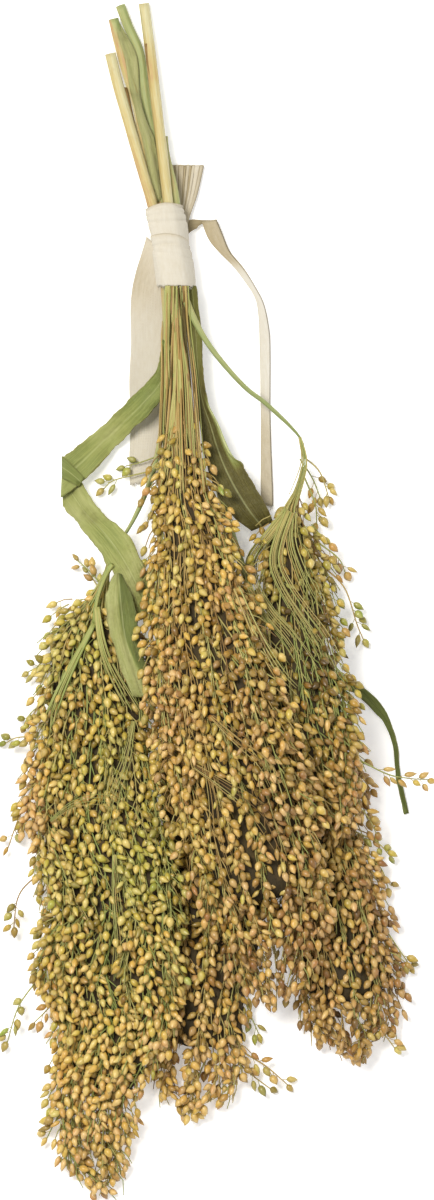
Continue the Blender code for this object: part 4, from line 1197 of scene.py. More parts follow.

# %% [markdown]
# ## The tangle inside
#
# Deep inside a head the branches lie so thick that one sees only a dark tangle between the husks. A rounded core in
# each head, well below its skin and streaked along like the threads, stands for the innermost ones. Its near-black
# colour is painted shade: the core stands for the shade deep between the husks as well as for the branches there.

# %% A dark core of painted shade in each head
CORE_SIDES = 20
for name, room in rooms.items():
    own = np.random.default_rng(7)
    along = np.arange(room.length * CORE_SPAN[name][0], room.length * CORE_SPAN[name][1], 3.0)
    rings = []
    bare_part = np.interp(along, (0, 35, 60), (1, 1, 0)) if name == "front" else 0 * along  # below the fan of threads
    turns = np.arange(CORE_SIDES) * 2 * math.pi / CORE_SIDES
    for turn in turns:
        share = CORE_WIDE.get(name, 0.62) * math.cos(turn) * (1 + 0.12 * sway(len(along), own, 9))
        place, under, top = room.read(along, share)
        swell = 0.25 * math.sin(turn) * (1 + 0.2 * sway(len(along), own, 9))
        height = under * 0.56 + top * 0.44 + (top - under) * swell
        height -= bare_part * (1.2 + 0.5 * (height - under))
        rings.append(np.column_stack([place, height]))
    rings = np.stack(rings, axis=1)
    for end in (0, -1):
        rings[end] = rings[end].mean(axis=0) * 0.7 + rings[end] * 0.3
    bm = bmesh.new()
    lie = bm.verts.layers.float_vector.new("fibre")
    tone = bm.verts.layers.float.new("tone")
    loops = []
    for distance, ring, bare in zip(along, rings, bare_part):
        loop = []
        for turn, place in zip(turns, ring):
            vertex = bm.verts.new(metres(place))
            vertex[lie] = (5 * math.cos(turn), 5 * math.sin(turn), distance)
            vertex[tone] = 0.5 + 0.42 * bare
            loop.append(vertex)
        loops.append(loop)
    for loop, after in zip(loops, loops[1:]):
        for number in range(CORE_SIDES):
            bm.faces.new((loop[number], loop[number - 1], after[number - 1], after[number]))
    bm.faces.new(loops[0])
    bm.faces.new(loops[-1])
    bmesh.ops.recalc_face_normals(bm, faces=bm.faces)
    mesh = bpy.data.meshes.new("tangle_" + name)
    bm.to_mesh(mesh)
    bm.free()
    mesh.shade_smooth()
    tangle = bpy.data.objects.new(mesh.name, mesh)
    scene.collection.objects.link(tangle)
    dress(tangle, tangle_shade_finish)

# %% [markdown]
# ## Loose threads and sprigs
#
# Some branches left their head and lie on top of it: the stem of the left head splits into two bundles beside the
# hanging leaf, the right head's branches pour over its edge in a bow, and a few sprigs stand out of the outlines with
# their husks clear against the floor. Each is drawn where the photograph shows it and laid on whatever is below.

# %% Lay threads on the bunch
SPRIGS = [  # places from where it leaves its head, and how many husks it bears
    ([(30.0, 50.5), (34.5, 43.5), (37.5, 36.0)], 4), ([(31.0, 51.5), (37.0, 46.0), (40.6, 36.0)], 3),
    ([(31.5, 44.0), (35.5, 34.0), (36.0, 26.0)], 4), ([(38.0, 12.0), (46.0, 4.0), (50.5, -9.0), (52.8, -14.5)], 7),
    ([(37.0, 20.0), (44.0, 14.5), (46.5, 9.0)], 4), ([(46.0, -55.0), (60.0, -62.5), (68.0, -64.5), (76.8, -65.2)], 11),
    ([(46.0, -70.0), (54.0, -78.0), (58.0, -86.0)], 6), ([(-18.0, 53.0), (-27.0, 49.5), (-33.0, 48.0)], 3),
    ([(-20.0, 47.0), (-31.0, 44.5), (-38.0, 42.5), (-41.0, 39.5)], 3), ([(-40.5, 3.0), (-45.0, 9.0), (-50.5, 14.0)], 8), ([(-41.0, 1.0), (-44.0, 6.0), (-46.5, 9.5)], 6),
    ([(-58.0, -24.0), (-64.0, -24.5), (-69.5, -27.0)], 5), ([(-60.0, -36.0), (-67.0, -41.0), (-70.0, -46.0)], 6),
    ([(-64.0, -50.0), (-72.0, -50.0), (-77.0, -52.5)], 6), ([(-64.0, -66.0), (-71.0, -78.0), (-75.5, -90.0)], 9),
    ([(-60.0, -96.0), (-71.0, -106.0), (-73.6, -120.0)], 6), ([(-60.0, -132.0), (-71.0, -146.0), (-76.0, -161.0)], 8),
    ([(-54.0, -140.0), (-62.0, -149.0), (-66.0, -153.0)], 5), ([(-52.0, -180.0), (-58.0, -188.0), (-62.0, -196.0)], 6),
    ([(-41.0, -194.0), (-36.0, -202.0), (-34.4, -208.0)], 5), ([(10.0, -164.0), (18.0, -169.0), (26.0, -176.0)], 7), ([(8.0, -168.0), (14.0, -173.0), (20.0, -177.5)], 5),
    ([(-4.0, -166.0), (-8.0, -176.0), (-9.0, -182.5)], 5), ([(50.0, -84.0), (58.0, -88.0), (63.0, -93.5)], 6),
    ([(60.0, -118.0), (66.0, -127.0), (70.6, -133.5)], 5), ([(54.0, -151.0), (61.0, -158.0), (65.0, -163.5)], 5),
    ([(52.0, -92.0), (59.0, -97.0), (62.0, -105.0)], 6), ([(8.0, -140.0), (12.0, -150.0), (15.0, -157.0)], 6),
]


PRESSED_IN = {"groove_left": -1.2, "groove_right": -0.8}  # a groove lies below its rims, other bundles 1 mm above
PARTING = ("front_fan", "front_right")  # bundles whose threads part one by one from the stems above them


def resting(path, above):
    """The same path with the height at which it lies on the bunch, eased so that it spans the gaps."""
    height = np.array([highest(x, y) for x, y in path[:, :2]]) + above
    for _ in range(4):
        height = np.maximum(height, np.convolve(np.pad(height, 2, "edge"), np.ones(5) / 5, "valid"))
    return np.column_stack([path[:, :2], height])


own = np.random.default_rng(5)
paths, tones = [], []
for label, places, count, narrow, wide, thick, tone in BUNDLES:
    middle = resting(smooth_path(places, 2.5), PRESSED_IN.get(label, 1.0))
    many = count > 30
    ways = unit(np.gradient(middle[:, :2], axis=0))
    across = np.column_stack([ways[:, 1], -ways[:, 0]])
    share = np.linspace(0, 1, len(middle))
    for number in range(count):
        place = (number + 0.5) / count - 0.5 if count > 1 else 0.0
        aside = (place + own.normal(0, 0.05)) * (narrow + (wide - narrow) * share)
        aside = aside + min(0.5, wide / 4) * share * sway(len(middle), own, 6)
        line = middle.copy()
        line[:, :2] += across * aside[:, None]
        line[:, 2] += own.uniform(-0.5, 0.9) * np.sin(math.pi * share) + 0.2
        keep = max(4, round(len(line) * own.uniform(0.8, 1.0)))
        uneven = own.uniform(0.5, 1.45) if many else own.uniform(0.8, 1.15)
        radius = np.linspace(thick, thick * 0.45, keep) * uneven
        if label in PARTING:
            line = resting(line, own.uniform(0.1, 0.9)) if label == "front_fan" else line
            begin = 0 if number % 3 == 0 else int(own.uniform(0.05, 0.5) * keep)
            line, keep, radius = line[begin:], keep - begin, radius[begin:]
            if begin:
                radius = radius * np.clip(0.3 + 0.35 * np.arange(keep), 0, 1)
        paths.append(np.column_stack([line[:keep], radius]))
        tones.append(scattered(tone, 0.28 if many else 0.14, own))
hung = []
crowd = Crowd(NEAREST)
for places, count in SPRIGS:
    path = smooth_path(places, 1.5)
    start = max(3.0, highest(*path[0, :2]) - 3.0)
    arch = 1.5 * np.sin(math.pi * np.linspace(0, 1, len(path)))
    line = np.column_stack([path[:, :2], np.linspace(start, max(3.0, start * 0.45), len(path)) + arch])
    paths.append(np.column_stack([line, np.linspace(0.32, 0.19, len(line))]))
    tones.append(float(np.clip(own.normal(0.35, 0.2), 0, 1)))
    along = distance_along(line)
    way = unit(np.gradient(line, axis=0))
    mood = own.uniform(0.05, 0.6)
    stop = along[-1] + 1.0
    for number in range(count + 1):
        stop -= own.uniform(1.0, 3.0)
        if stop < 0.15 * along[-1]:
            break
        here, tangent = at(line, along, stop), at(way, along, stop)
        apart = square_to(tangent, own.uniform(-0.9, 0.9) + (math.pi if own.uniform() < 0.5 else 0))
        lean = unit(tangent + apart * (0.1 if number == 0 else own.uniform(0.4, 1.0)))
        foot = here + unit(tangent + apart) * (0.4 if number == 0 else own.uniform(0.8, 2.8))
        centre = foot + lean * HUSK_LENGTH / 2
        if centre[2] > 2 and crowd.takes(centre):
            hung.append((*foot, *here, *lean, mood + own.normal(0, 0.12), own.normal(0.75, 0.15)))
hung = np.array(hung)
threads = stalks("loose_threads", paths, tones)
sprigs = husks("loose_husks", hung[:, 0:3], hung[:, 3:6], hung[:, 6:9], *np.clip(hung[:, 9:].T, 0, 1), own)
dress(threads, thread_finish)
dress(sprigs, husk_finish)

# %% [markdown]
# ## Thin plates
#
# Leaves and cloth are thin sheets. Both are made as a grid of places with a second grid just below it and a wall round
# the rim, so each is a closed plate of its real thickness. A UV map, `blade`, tells the material how far across and
# along the strip a point lies, and the note `tone` how green or pale it is; on the cotton it carries painted shade.

# %% Build plates


def edge_rows(edges, step):
    """Rows of left x, left y, right x, right y, height along a strip, read off every `step` millimetres."""
    edges = np.array(edges, float)
    middles = (edges[:, :2] + edges[:, 2:4]) / 2
    return smooth_path(np.column_stack([middles, edges]), step)[:, 2:]


def eased(values, times):
    """Rows of numbers, each drawn towards its neighbours."""
    for _ in range(times):
        values = np.concatenate([values[:1], (values[:-2] + 2 * values[1:-1] + values[2:]) / 4, values[-1:]])
    return values


def laid(node, edges, step, columns, over=True, sink=0.3):
    """A grid of places across a strip, at the height of its solid's top or underside."""
    rows = edge_rows(edges, step)
    spots = np.array([0.08, 0.3, 0.5, 0.7, 0.92])
    height = np.full((len(rows), len(spots)), np.nan)
    for row, (x, y, far_x, far_y, _) in enumerate(rows):
        for column, share in enumerate(spots):
            under, top = underside_and_top(node, x + (far_x - x) * share, y + (far_y - y) * share)
            height[row, column] = top - sink if over else under + sink
    numbers = np.arange(len(rows))
    for column in range(len(spots)):
        known = ~np.isnan(height[:, column])
        height[:, column] = np.interp(numbers, numbers[known], height[known, column])
    height = eased(height, 6)
    shares = np.linspace(0, 1, columns)
    grid = np.empty((len(rows), columns, 3))
    grid[:, :, :2] = rows[:, None, 0:2] + (rows[:, 2:4] - rows[:, 0:2])[:, None] * shares[:, None]
    grid[:, :, 2] = [np.interp(shares, spots, row) for row in height]
    return grid


def plate(grid, thickness, lie, tone, ring=False):
    """Points, faces, places on the strip and tones of a closed plate whose upper side is this grid."""
    rows, columns = grid.shape[:2]
    ways_down, ways_across = np.gradient(grid, axis=0), np.gradient(grid, axis=1)
    if ring:
        ways_across = np.roll(grid, -1, axis=1) - np.roll(grid, 1, axis=1)
    normals = unit(np.cross(ways_down, ways_across))
    points = np.concatenate([grid.reshape(-1, 3), (grid - normals * thickness).reshape(-1, 3)])
    number = np.arange(rows * columns).reshape(rows, columns)
    wrapped = np.column_stack([number, number[:, :1]]) if ring else number
    quads = np.stack([wrapped[:-1, :-1], wrapped[:-1, 1:], wrapped[1:, 1:], wrapped[1:, :-1]], axis=-1).reshape(-1, 4)
    if ring:
        rims = [wrapped[0], wrapped[-1][::-1]]
    else:
        rims = [np.concatenate([number[0], number[1:, -1], number[-1, -2::-1], number[-2::-1, 0]])]
    below = rows * columns
    walls = [np.stack([rim[:-1], rim[1:], rim[1:] + below, rim[:-1] + below], axis=-1) for rim in rims]
    faces = np.concatenate([quads, quads[:, ::-1] + below, *walls])
    return points, faces, np.tile(lie.reshape(-1, 2), (2, 1)), np.tile(np.broadcast_to(tone, grid.shape[:2]).ravel(), 2)


def thin_piece(name, plates, finish, mirrored=()):
    """One object of several closed plates."""
    points, faces, lies, tones, count = [], [], [], [], 0
    for own_points, own_faces, lie, tone in plates:
        points.append(own_points)
        faces += (own_faces + count).tolist()
        lies.append(lie)
        tones.append(tone)
        count += len(own_points)
    mesh = bpy.data.meshes.new(name)
    mesh.from_pydata(metres(np.concatenate(points)), [], faces)
    bm = bmesh.new()
    bm.from_mesh(mesh)
    bmesh.ops.recalc_face_normals(bm, faces=bm.faces)
    bm.to_mesh(mesh)
    bm.free()
    corners = np.empty(len(mesh.loops), np.int32)
    mesh.loops.foreach_get("vertex_index", corners)
    mesh.uv_layers.new(name="blade").data.foreach_set("uv", np.concatenate(lies)[corners].ravel())
    mesh.attributes.new("tone", "FLOAT", "POINT").data.foreach_set("value", np.concatenate(tones))
    mesh.shade_smooth()
    mesh.materials.append(finish)
    piece = bpy.data.objects.new(name, mesh)
    scene.collection.objects.link(piece)
    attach(piece, "root")
    return piece


def grid_lie(grid, along_from=0.0):
    """Share across and centimetres along, for each place of a grid."""
    rows, columns = grid.shape[:2]
    along = distance_along(grid[:, columns // 2]) / 10 + along_from
    return np.stack(np.broadcast_arrays(np.linspace(0, 1, columns), along[:, None]), axis=-1)


def crumple(grid, rng, height, edge):
    """A dry leaf is never flat: a slow crumple of its face and a nibbled outline."""
    rows, columns = grid.shape[:2]
    shares = np.linspace(-1, 1, columns)
    waves = np.stack([sway(rows, rng, max(6, rows // 5)) for _ in range(4)])
    grid[:, :, 2] += height * (waves[0][:, None] * shares + waves[1][:, None] * np.sin(3 * shares + waves[2][:, None]))
    outward = unit(grid[:, -1, :2] - grid[:, 0, :2])
    for column, way in ((0, -1), (1, -0.6), (-1, 1), (-2, 0.6)):
        grid[:, column, :2] += outward * (way * edge * np.convolve(rng.normal(0, 1, rows + 2), np.ones(3) / 3, "valid"))[:, None]
    return grid


# %% [markdown]
# ## Leaves
#
# The leaf blades dried in the bunch. The left one is folded over at its widest and runs back under itself, the hanging
# one is arched along its midrib, and the broad olive one on the right has rolled its outer margin inwards, so that its
# pale underside shows. The edges are the ones read off the photograph for the solids.

# %% Make the leaves
LEAF_FOLDED = [
    (-19.6, 93.5, -17.0, 91.5, 0), (-21.8, 82.5, -18.0, 76.0, 0), (-29.5, 74.0, -23.6, 67.4, 0),
    (-38.2, 65.6, -31.4, 59.8, 0), (-46.6, 58.2, -38.6, 52.8, 0), (-52.4, 53.4, -46.6, 44.0, 0),
    (-55.0, 51.2, -55.8, 36.6, 0),
]
LEAF_FOLDED_BACK = [
    (-50.0, 43.8, -55.6, 33.6, 0), (-43.4, 33.6, -50.2, 26.8, 0), (-36.8, 27.6, -43.4, 18.6, 0),
    (-30.4, 19.8, -37.6, 9.6, 0), (-25.0, 8.8, -31.4, -1.2, 0), (-21.5, -1.0, -27.5, -8.0, 0),
]
LEAF_FLAP = [
    (-55.9, 51.6, -55.9, 43.6, 0), (-53.6, 49.6, -53.8, 42.6, 0), (-50.8, 46.8, -51.6, 41.4, 0), (-48.0, 43.8, -49.6, 40.6, 0),
]
LEAF_HANGING = [
    (-36.6, 9.6, -34.4, 9.0, 0), (-39.4, 3.6, -30.6, 1.6, 0), (-40.0, -2.0, -28.8, -5.6, 0), (-38.4, -13.0, -27.6, -15.0, 0),
    (-34.4, -25.4, -24.6, -26.4, 0), (-30.4, -35.2, -22.8, -35.4, 0),
]
LEAF_BROAD = [
    (-10.6, 112.9, -7.4, 112.9, 0), (-9.9, 99.0, -5.8, 99.0, 0), (-8.9, 86.0, -5.2, 86.0, 0), (-8.0, 76.5, -4.3, 76.0, 0), (-7.2, 69.8, -2.5, 70.0, 0), (-6.1, 61.6, 1.4, 63.4, 0),
    (-4.7, 53.0, 5.0, 55.6, 0), (-2.6, 44.4, 9.2, 48.4, 0), (1.0, 36.4, 13.8, 40.6, 0), (6.0, 29.6, 17.8, 33.4, 0),
    (12.4, 24.4, 20.2, 27.6, 0),
]
LEAF_TIP = [
    (36.0, -21.0, 37.0, -22.6, 0), (46.0, -28.0, 46.4, -31.5, 0), (52.4, -31.6, 51.6, -35.6, 0), (58.2, -36.6, 56.4, -40.4, 0),
    (62.4, -43.4, 60.6, -45.4, 0), (65.4, -53.0, 63.8, -53.4, 0), (66.4, -64.0, 64.6, -64.2, 0),
    (69.4, -77.4, 67.6, -78.0, 0),
]
LEAF_PLATE = 0.3
own = np.random.default_rng(9)

upper = crumple(laid("leaf_folded", LEAF_FOLDED, 1.2, 21), own, 0.9, 0.4)
lower = crumple(laid("leaf_folded", LEAF_FOLDED_BACK, 1.2, 21, over=False, sink=0.4), own, 0.8, 0.45)
crease = [upper[-1] + [-0.5, 0, -0.25 * (upper[-1, :, 2:] - lower[0, :, 2:]).mean()]]
crease[0][:, 0] -= 0.2
under_start = upper[-1] * [1, 1, 0] + lower[0] * [0, 0, 1]
folded = np.concatenate([upper, [crease[0]], [(crease[0] + under_start) / 2 - [0.35, 0, 0]], [under_start], lower])
midrib = np.exp(-(((np.linspace(0, 1, 21) - 0.5) / 0.07) ** 2))
folded[:, :, 2] -= 0.35 * midrib
share = np.linspace(0, 1, len(folded))[:, None]
tone = 0.26 + 0.24 * smoothstep(share * 3) + 0.1 * np.sin(share * 23) + 0.06 * smoothstep((share - 0.52) * 8)
flap = laid("leaf_folded", LEAF_FLAP, 0.8, 9, sink=-0.55)
flap[:, :, 2] += 0.5 * np.linspace(0, 1, len(flap))[:, None] * np.linspace(1, 0, 9)
blades = [plate(folded, LEAF_PLATE, grid_lie(folded), tone), plate(flap, LEAF_PLATE, grid_lie(flap), 0.34)]
leaf = thin_piece("blade_folded", blades, leaf_finish)
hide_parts("leaf_folded")

hanging = crumple(laid("leaf_hanging", LEAF_HANGING, 1.0, 21), own, 0.5, 0.3)
arch = np.linspace(-1, 1, 21)
hanging[:, :, 2] += 1.1 * (1 - arch**2) - 0.7 - 0.8 * midrib
# The right half of the hanging leaf is darker: painted shade on the side of its arch that turns from the light.
tone = 0.66 - 0.5 * smoothstep((arch - 0.02 + 0.25 * np.sin(np.linspace(0, 5, len(hanging)))[:, None]) * 6)
leaf = thin_piece("blade_hanging", [plate(hanging, LEAF_PLATE, grid_lie(hanging), tone)], leaf_finish)
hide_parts("leaf_hanging")

broad = crumple(laid("leaf_broad", LEAF_BROAD, 1.2, 29), own, 0.35, 0.2)
shares = np.linspace(0, 1, 29)
for row in broad[broad[:, 0, 1] > 84]:
    row[:, 2] = max(highest(x, y, ["culm_lower", "culm_back", "leaf_broad"]) for x, y in row[::7, :2]) + 0.4
broad[:, :, 2] = eased(broad[:, :, 2], 5)
along = np.clip((88 - broad[:, 14, 1]) / (88 - broad[-1, 14, 1]), 0, 1)  # from where the leaf widens
rolled = smoothstep((along - 0.2) / 0.12) * smoothstep((0.72 - along) / 0.14)
turn = np.clip((shares - 0.72) / 0.28, 0, 1)[None] * rolled[:, None] * 3.6
outward = unit(broad[:, -1, :2] - broad[:, 0, :2])
width = np.linalg.norm(broad[:, -1, :2] - broad[:, 0, :2], axis=1)
radius = (0.28 * width / 3.6)[:, None]
beyond = np.clip(shares - 0.72, 0, 1)[None] * width[:, None]
pulled = np.where(turn > 1e-3, radius / np.maximum(rolled[:, None], 0.2) * np.sin(turn) - beyond, 0.0)
broad[:, :, :2] += outward[:, None] * (pulled * np.minimum(1, rolled[:, None] * 1.5) + beyond * 0.35 * rolled[:, None])[:, :, None]
broad[:, :, 2] += radius * (1 - np.cos(turn)) * 1.1 - 0.3 * np.exp(-(((shares - 0.4) / 0.06) ** 2))
tone = 0.12 + 0.85 * smoothstep((shares[None] - 0.68) / 0.1) * rolled[:, None] + 0.25 * smoothstep((0.25 - along[:, None]) / 0.2)
leaf = thin_piece("blade_broad", [plate(broad, LEAF_PLATE, grid_lie(broad), tone)], olive_finish)
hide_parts("leaf_broad")

tip = crumple(laid("leaf_tip", LEAF_TIP, 1.0, 11), own, 0.25, 0.12)
tip[:, :, 2] -= 0.25 * np.exp(-((np.linspace(-1, 1, 11) / 0.2) ** 2))
leaf = thin_piece("blade_tip", [plate(tip, LEAF_PLATE, grid_lie(tip), 0.22)], leaf_finish)
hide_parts("leaf_tip")

LEAF_SHEATH = [
    (-37.4, 209.0, -36.0, 209.6, 0), (-35.4, 202.4, -32.4, 203.2, 0), (-33.2, 194.8, -28.8, 195.4, 0),
    (-31.6, 184.3, -28.0, 184.5, 0), (-29.9, 177.8, -27.3, 179.0, 0), (-28.4, 171.0, -24.9, 171.5, 0),
    (-27.0, 165.6, -22.9, 167.0, 0), (-25.6, 158.6, -21.6, 160.6, 0), (-23.9, 150.2, -20.3, 150.4, 0),
    (-22.5, 142.9, -19.4, 143.1, 0),
]
rows = edge_rows(LEAF_SHEATH, 1.2)
sheath = np.empty((len(rows), 11, 3))
for column, share in enumerate(np.linspace(0, 1, 11)):
    sheath[:, column, :2] = rows[:, 0:2] + (rows[:, 2:4] - rows[:, 0:2]) * share
    touched = np.array([highest(x, y, ["culm_left", "leaf_sheath"]) for x, y in sheath[:, column, :2]])
    sheath[:, column, 2] = np.where(touched > 2, touched, np.nan)
for row in sheath:
    known = ~np.isnan(row[:, 2])
    row[:, 2] = np.interp(np.arange(11), np.arange(11)[known], row[known, 2]) if known.any() else np.nan
known = ~np.isnan(sheath[:, 0, 2])
numbers = np.arange(len(sheath))
for column in range(11):
    sheath[:, column, 2] = np.interp(numbers, numbers[known], sheath[known, column, 2])
    sheath[:, column, 2] += 0.35 - 0.9 * (column / 10) ** 2
sheath[:, :, 2] = eased(sheath[:, :, 2], 4)
leaf = thin_piece("blade_sheath", [plate(sheath, LEAF_PLATE, grid_lie(sheath), 0.8)], leaf_finish)
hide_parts("leaf_sheath")
print("leaves:", [(piece.name, triangles(piece)) for piece in scene.objects if piece.name.startswith("blade_")])

# %% [markdown]
# ## The strip of cotton
#
# A torn strip of unbleached cotton, about 18 mm wide, goes twice round the stalks, is knotted behind them, and ends in
# a pleated loop, a broad tail on the left and a tail on the right that is folded lengthwise in three. Round the stalks
# each turn is a closed ring over their outline, the lower turn laid on the edge of the upper one and creased there.

# %% Wind the cotton round the stalks
RING_POINTS = 96
COTTON = 0.35


def round_the_culms(y, gap):
    """Places on a tight line round all culms at this height of the drawing."""
    culms = []
    for path in culm_paths.values():
        rows = path[::-1]
        if rows[0, 1] <= y <= rows[-1, 1]:
            culms.append([np.interp(y, rows[:, 1], rows[:, column]) for column in (0, 2, 3)])
    culms = np.array(culms)
    angles = np.linspace(0, 2 * math.pi, 240, endpoint=False)
    cosines, sines = np.cos(angles), np.sin(angles)
    reach = (culms[:, 0, None] * cosines + culms[:, 1, None] * sines + culms[:, 2, None]).max(axis=0) + gap
    soft = np.convolve(np.pad(reach, 14, "wrap"), np.hanning(29) / np.hanning(29).sum(), "valid")
    reach = soft + np.maximum(reach - soft, 0).max() * 0.5
    change = (np.roll(reach, -1) - np.roll(reach, 1)) / (2 * angles[1])
    found = np.column_stack([reach * cosines - change * sines, reach * sines + change * cosines])
    found = np.concatenate([found, found[:1]])
    along = distance_along(found)
    stops = np.linspace(0, along[-1], RING_POINTS, endpoint=False)
    return np.column_stack([np.interp(stops, along, found[:, 0]), np.full(RING_POINTS, y), np.interp(stops, along, found[:, 1])])


def turn_of_cloth(top, bottom, gap, slope, rng):
    """One turn of the strip, its edges a little uneven and its face softly creased."""
    levels = np.linspace(0, 1, 34)
    rows = []
    for level in levels:
        y = top + (bottom - top) * level
        bulge = 0.55 * math.sin(math.pi * min(1, max(0, level))) ** 0.5
        ring = round_the_culms(y, gap + bulge)
        ring[:, 1] += slope * (ring[:, 0] + 18) - 0.033 * (ring[:, 0] + 18) ** 2 * (1 - level) ** 2
        rows.append(ring)
    grid = np.array(rows)
    middle = grid.mean(axis=(0, 1))
    out = unit((grid - middle) * [1, 0, 1])
    sideways = np.arange(RING_POINTS) / RING_POINTS * 2 * math.pi
    crease = np.zeros(grid.shape[:2])
    for _ in range(8):
        at_level, tilt, strong = rng.uniform(0.02, 0.5), rng.uniform(-0.1, 0.1), rng.uniform(0.12, 0.4)
        crease -= strong * np.exp(-(((levels[:, None] - at_level - tilt * np.sin(sideways + rng.uniform(0, 6))) / 0.03) ** 2))
    return grid + out * crease[:, :, None]


own = np.random.default_rng(3)
plates = []
for top, bottom, gap, slope in ((142.7, 128.0, 0.45, 0.03), (131.6, 112.8, 1.0, -0.03)):
    grid = turn_of_cloth(top, bottom, gap, slope, own)
    grid[-1, :, 1] += own.normal(0, 0.25, RING_POINTS)
    round_way = np.linspace(0, 5.0, RING_POINTS)
    lie = np.stack(np.broadcast_arrays(round_way, np.linspace(0, (top - bottom) / 10, len(grid))[:, None]), axis=-1)
    # Painted shade along the upper rim of each turn; on the lower turn it lies where the turn runs in under the upper
    # one.
    shade = 0.8 - 0.25 * np.exp(-((np.arange(len(grid)) / 1.3) ** 2))[:, None] + 0 * grid[:, :, 0]
    plates.append(plate(grid, COTTON, lie, shade, ring=True))

# %% [markdown]
# The tails and the loop follow the edges of the solid's strips. The loop is pleated, so its face runs in and out
# across its width, deeper towards its open end. Its tone is painted light and shade: darker in the hollows of the
# pleats, lighter on their ridges and on one smooth, lit patch.

# %% The loop, the tails and the knot
STRIP_LOOP = [
    (-16.0, 128.0, -11.0, 128.5, 2.6), (-15.6, 137.0, -10.4, 137.0, 3.0), (-16.0, 147.0, -7.4, 146.0, 2.6),
    (-16.4, 156.8, -4.9, 156.8, 2.2),
]
STRIP_LEFT = [
    (-25.5, 131.0, -15.5, 122.0, 2.2), (-29.5, 118.0, -17.5, 112.0, 1.5), (-31.0, 106.0, -17.2, 103.0, 0.8),
    (-31.4, 88.0, -17.2, 87.0, 0.8), (-31.5, 66.0, -17.5, 66.0, 0.8), (-31.5, 41.0, -20.5, 43.5, 0.8),
]
STRIP_RIGHT = [
    (-5.5, 136.1, -0.4, 136.9, 3.6), (-3.1, 130.0, 1.7, 131.9, 2.8), (0.7, 125.3, 4.5, 125.3, 2.0),
    (5.4, 120.6, 9.2, 119.6, 1.6), (9.2, 115.8, 13.5, 112.9, 1.2), (13.5, 109.2, 16.8, 106.3, 1.1),
    (14.9, 102.6, 18.7, 96.8, 1.1), (15.4, 90.0, 19.1, 87.5, 1.1), (15.8, 66.0, 19.1, 64.8, 1.1),
    (15.8, 39.0, 20.0, 38.2, 1.1), (16.0, 34.0, 20.0, 33.4, 1.1),
]
STRIP_TUCKED = [
    (-13.0, 127.0, -12.0, 133.5, 2.2), (-10.4, 131.8, -10.2, 136.9, 2.7), (-7.8, 133.8, -5.0, 136.9, 2.9),
    (-5.5, 136.0, -0.4, 136.9, 2.9),
]


def strip_grid(edges, step, columns):
    rows = edge_rows(edges, step)
    shares = np.linspace(0, 1, columns)
    grid = np.empty((len(rows), columns, 3))
    grid[:, :, :2] = rows[:, None, 0:2] + (rows[:, 2:4] - rows[:, 0:2])[:, None] * shares[:, None]
    grid[:, :, 2] = rows[:, 4:]
    return grid


def cloth_lie(grid):
    """Centimetres across and along, as the weave runs."""
    rows, columns = grid.shape[:2]
    return np.stack(np.broadcast_arrays(np.linspace(0, 1.5, columns), (distance_along(grid[:, columns // 2]) / 10)[:, None]), axis=-1)


loop = strip_grid(STRIP_LOOP, 1.2, 49)
opening = np.linspace(0.25, 1, len(loop))[:, None]
shares = np.linspace(0, 1, 49)
pleats = 0.6 * np.sin(shares * 41 + 2 * np.sin(shares * 7)) + 0.4 * np.sin(shares * 73 + 1.3)
smooth_lit_patch = np.exp(-(((shares - 0.8) / 0.1) ** 2)) * opening
loop[:, :, 2] += 0.55 * opening * pleats * (1 - 0.8 * smooth_lit_patch)
loop[:, :, 1] += 0.2 * opening * pleats
# Painted light and shade on the loop: darker overall and in the pleats' hollows, lighter on their ridges and on the
# smooth lit patch, darker towards the knot.
tone = 0.36 + 0.22 * pleats * (1 - smooth_lit_patch) + 0.4 * smooth_lit_patch - 0.12 * smoothstep(1.2 - 2 * opening)
plates.append(plate(loop, COTTON, cloth_lie(loop), np.clip(tone, 0, 1)))

left = strip_grid(STRIP_LEFT, 1.5, 25)
rows_down = np.linspace(0, 1, len(left))[:, None]
shares = np.linspace(0, 1, 25)
left[:, :, 2] += 0.5 * np.sin(shares * 5 + rows_down * 6) * rows_down + 0.35
left[-1, :, 1] += own.normal(0, 0.35, 25)
left[:, :, 0] += 0.25 * np.sin(rows_down * 19) * (1 - shares)
# Painted shade: darker just below the band, where the tail comes out from under it, and towards its right edge under
# the stalks.
tone = 0.8 - 0.3 * np.exp(-(((rows_down - 0.16) / 0.12) ** 2)) * (1 - shares) - 0.12 * smoothstep(shares * 2 - 1)
plates.append(plate(left, COTTON, cloth_lie(left), tone))

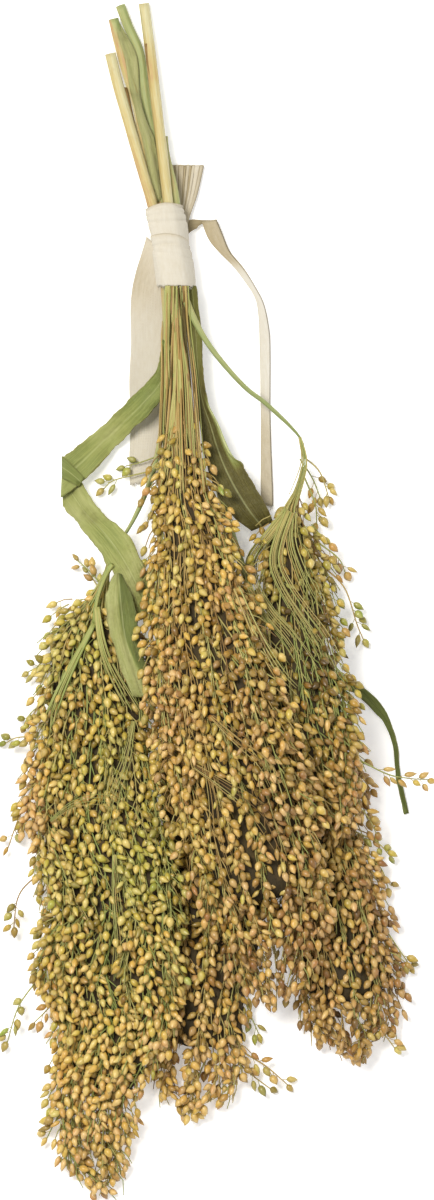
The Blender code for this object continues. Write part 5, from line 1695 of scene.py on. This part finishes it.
tail = strip_grid(STRIP_RIGHT, 1.5, 10)
rows_down = np.linspace(0, 1, len(tail))[:, None]
layers = [tail * 1.0 for _ in range(3)]
for number, layer in enumerate(layers):
    layer[:, :, 2] += 0.75 - 0.5 * number
folds = [layers[0], layers[1][:, ::-1], layers[2]]
tail = np.concatenate(folds, axis=1)
tail[:, :, 2] += 0.15 * np.sin(rows_down * 23)
tail[:, 12:, :2] += 0.25
# Painted shade where the tail leaves the knot and across its folded layers to the right; the tail is also darker
# towards its lower end.
tone = 0.42 + 0.5 * smoothstep((rows_down - 0.13) / 0.1) - 0.36 * smoothstep((rows_down - 0.58) / 0.2)
tone = tone - 0.3 * np.linspace(-0.5, 1, tail.shape[1]) ** 2
plates.append(plate(tail, COTTON * 0.7, cloth_lie(tail), np.clip(tone, 0, 1)))

tucked = strip_grid(STRIP_TUCKED, 1.0, 10)
# The tucked end is dark with painted shade, where it lies tucked in beside the knot under the band.
plates.append(plate(tucked, COTTON, cloth_lie(tucked), 0.12))

angles = np.linspace(0, 2 * math.pi, 32, endpoint=False)
knot = []
for share in np.linspace(-0.96, 0.96, 14):
    wide = math.sqrt(1 - share**2)
    twist = 1 + 0.08 * np.cos(4 * angles + 5 * share)
    knot.append(np.column_stack([
        -16.0 + 5.2 * share + 0 * angles, 127.5 + 5.2 * wide * np.cos(angles) * twist, 2.6 + 1.9 * wide * np.sin(angles) * twist
    ]))
knot = np.array(knot)
plates.append(plate(knot, COTTON, cloth_lie(knot), 0.6, ring=True))

cotton = thin_piece("cotton_strip", plates, cotton_finish)
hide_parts("cloth_tie")
area = sum(face.area for face in cotton.data.polygons) / 2
print("cotton:", triangles(cotton), "triangles, built area", round(area * 1e6), "square mm")

# %% [markdown]
# The strip was torn, not cut, so single threads stand out of the lower edge of the band and of the tails' ends.

# %% Frayed threads
paths = []
edge = turn_of_cloth(131.6, 112.8, 1.0, -0.03, np.random.default_rng(3))[-1]
for place in edge[edge[:, 2] > 6][::2]:
    long = own.uniform(0.5, 1.5)
    aside = own.normal(0, 0.3)
    paths.append(np.array([
        (*place, 0.1), (place[0] + aside * 0.4, place[1] - long * 0.6, place[2], 0.09), (place[0] + aside, place[1] - long, place[2] - 0.2, 0.05)
    ]))
for end_row in (left[-1], tail[-1]):
    for place in end_row[::2]:
        long = own.uniform(0.6, 2.2)
        paths.append(np.array([(*place, 0.1), (place[0] + own.normal(0, 0.4), place[1] - long, max(0.3, place[2] - 0.3), 0.05)]))
fray = stalks("cotton_fray", paths, [0.8] * len(paths))
fray.data.materials.append(fray_finish)
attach(fray, "root")
print("fray:", len(paths), "threads")

# %% Triangles in all
total = sum(triangles(piece) for piece in scene.objects if piece.type == "MESH" and not piece.hide_render)
print("triangles in all:", total)
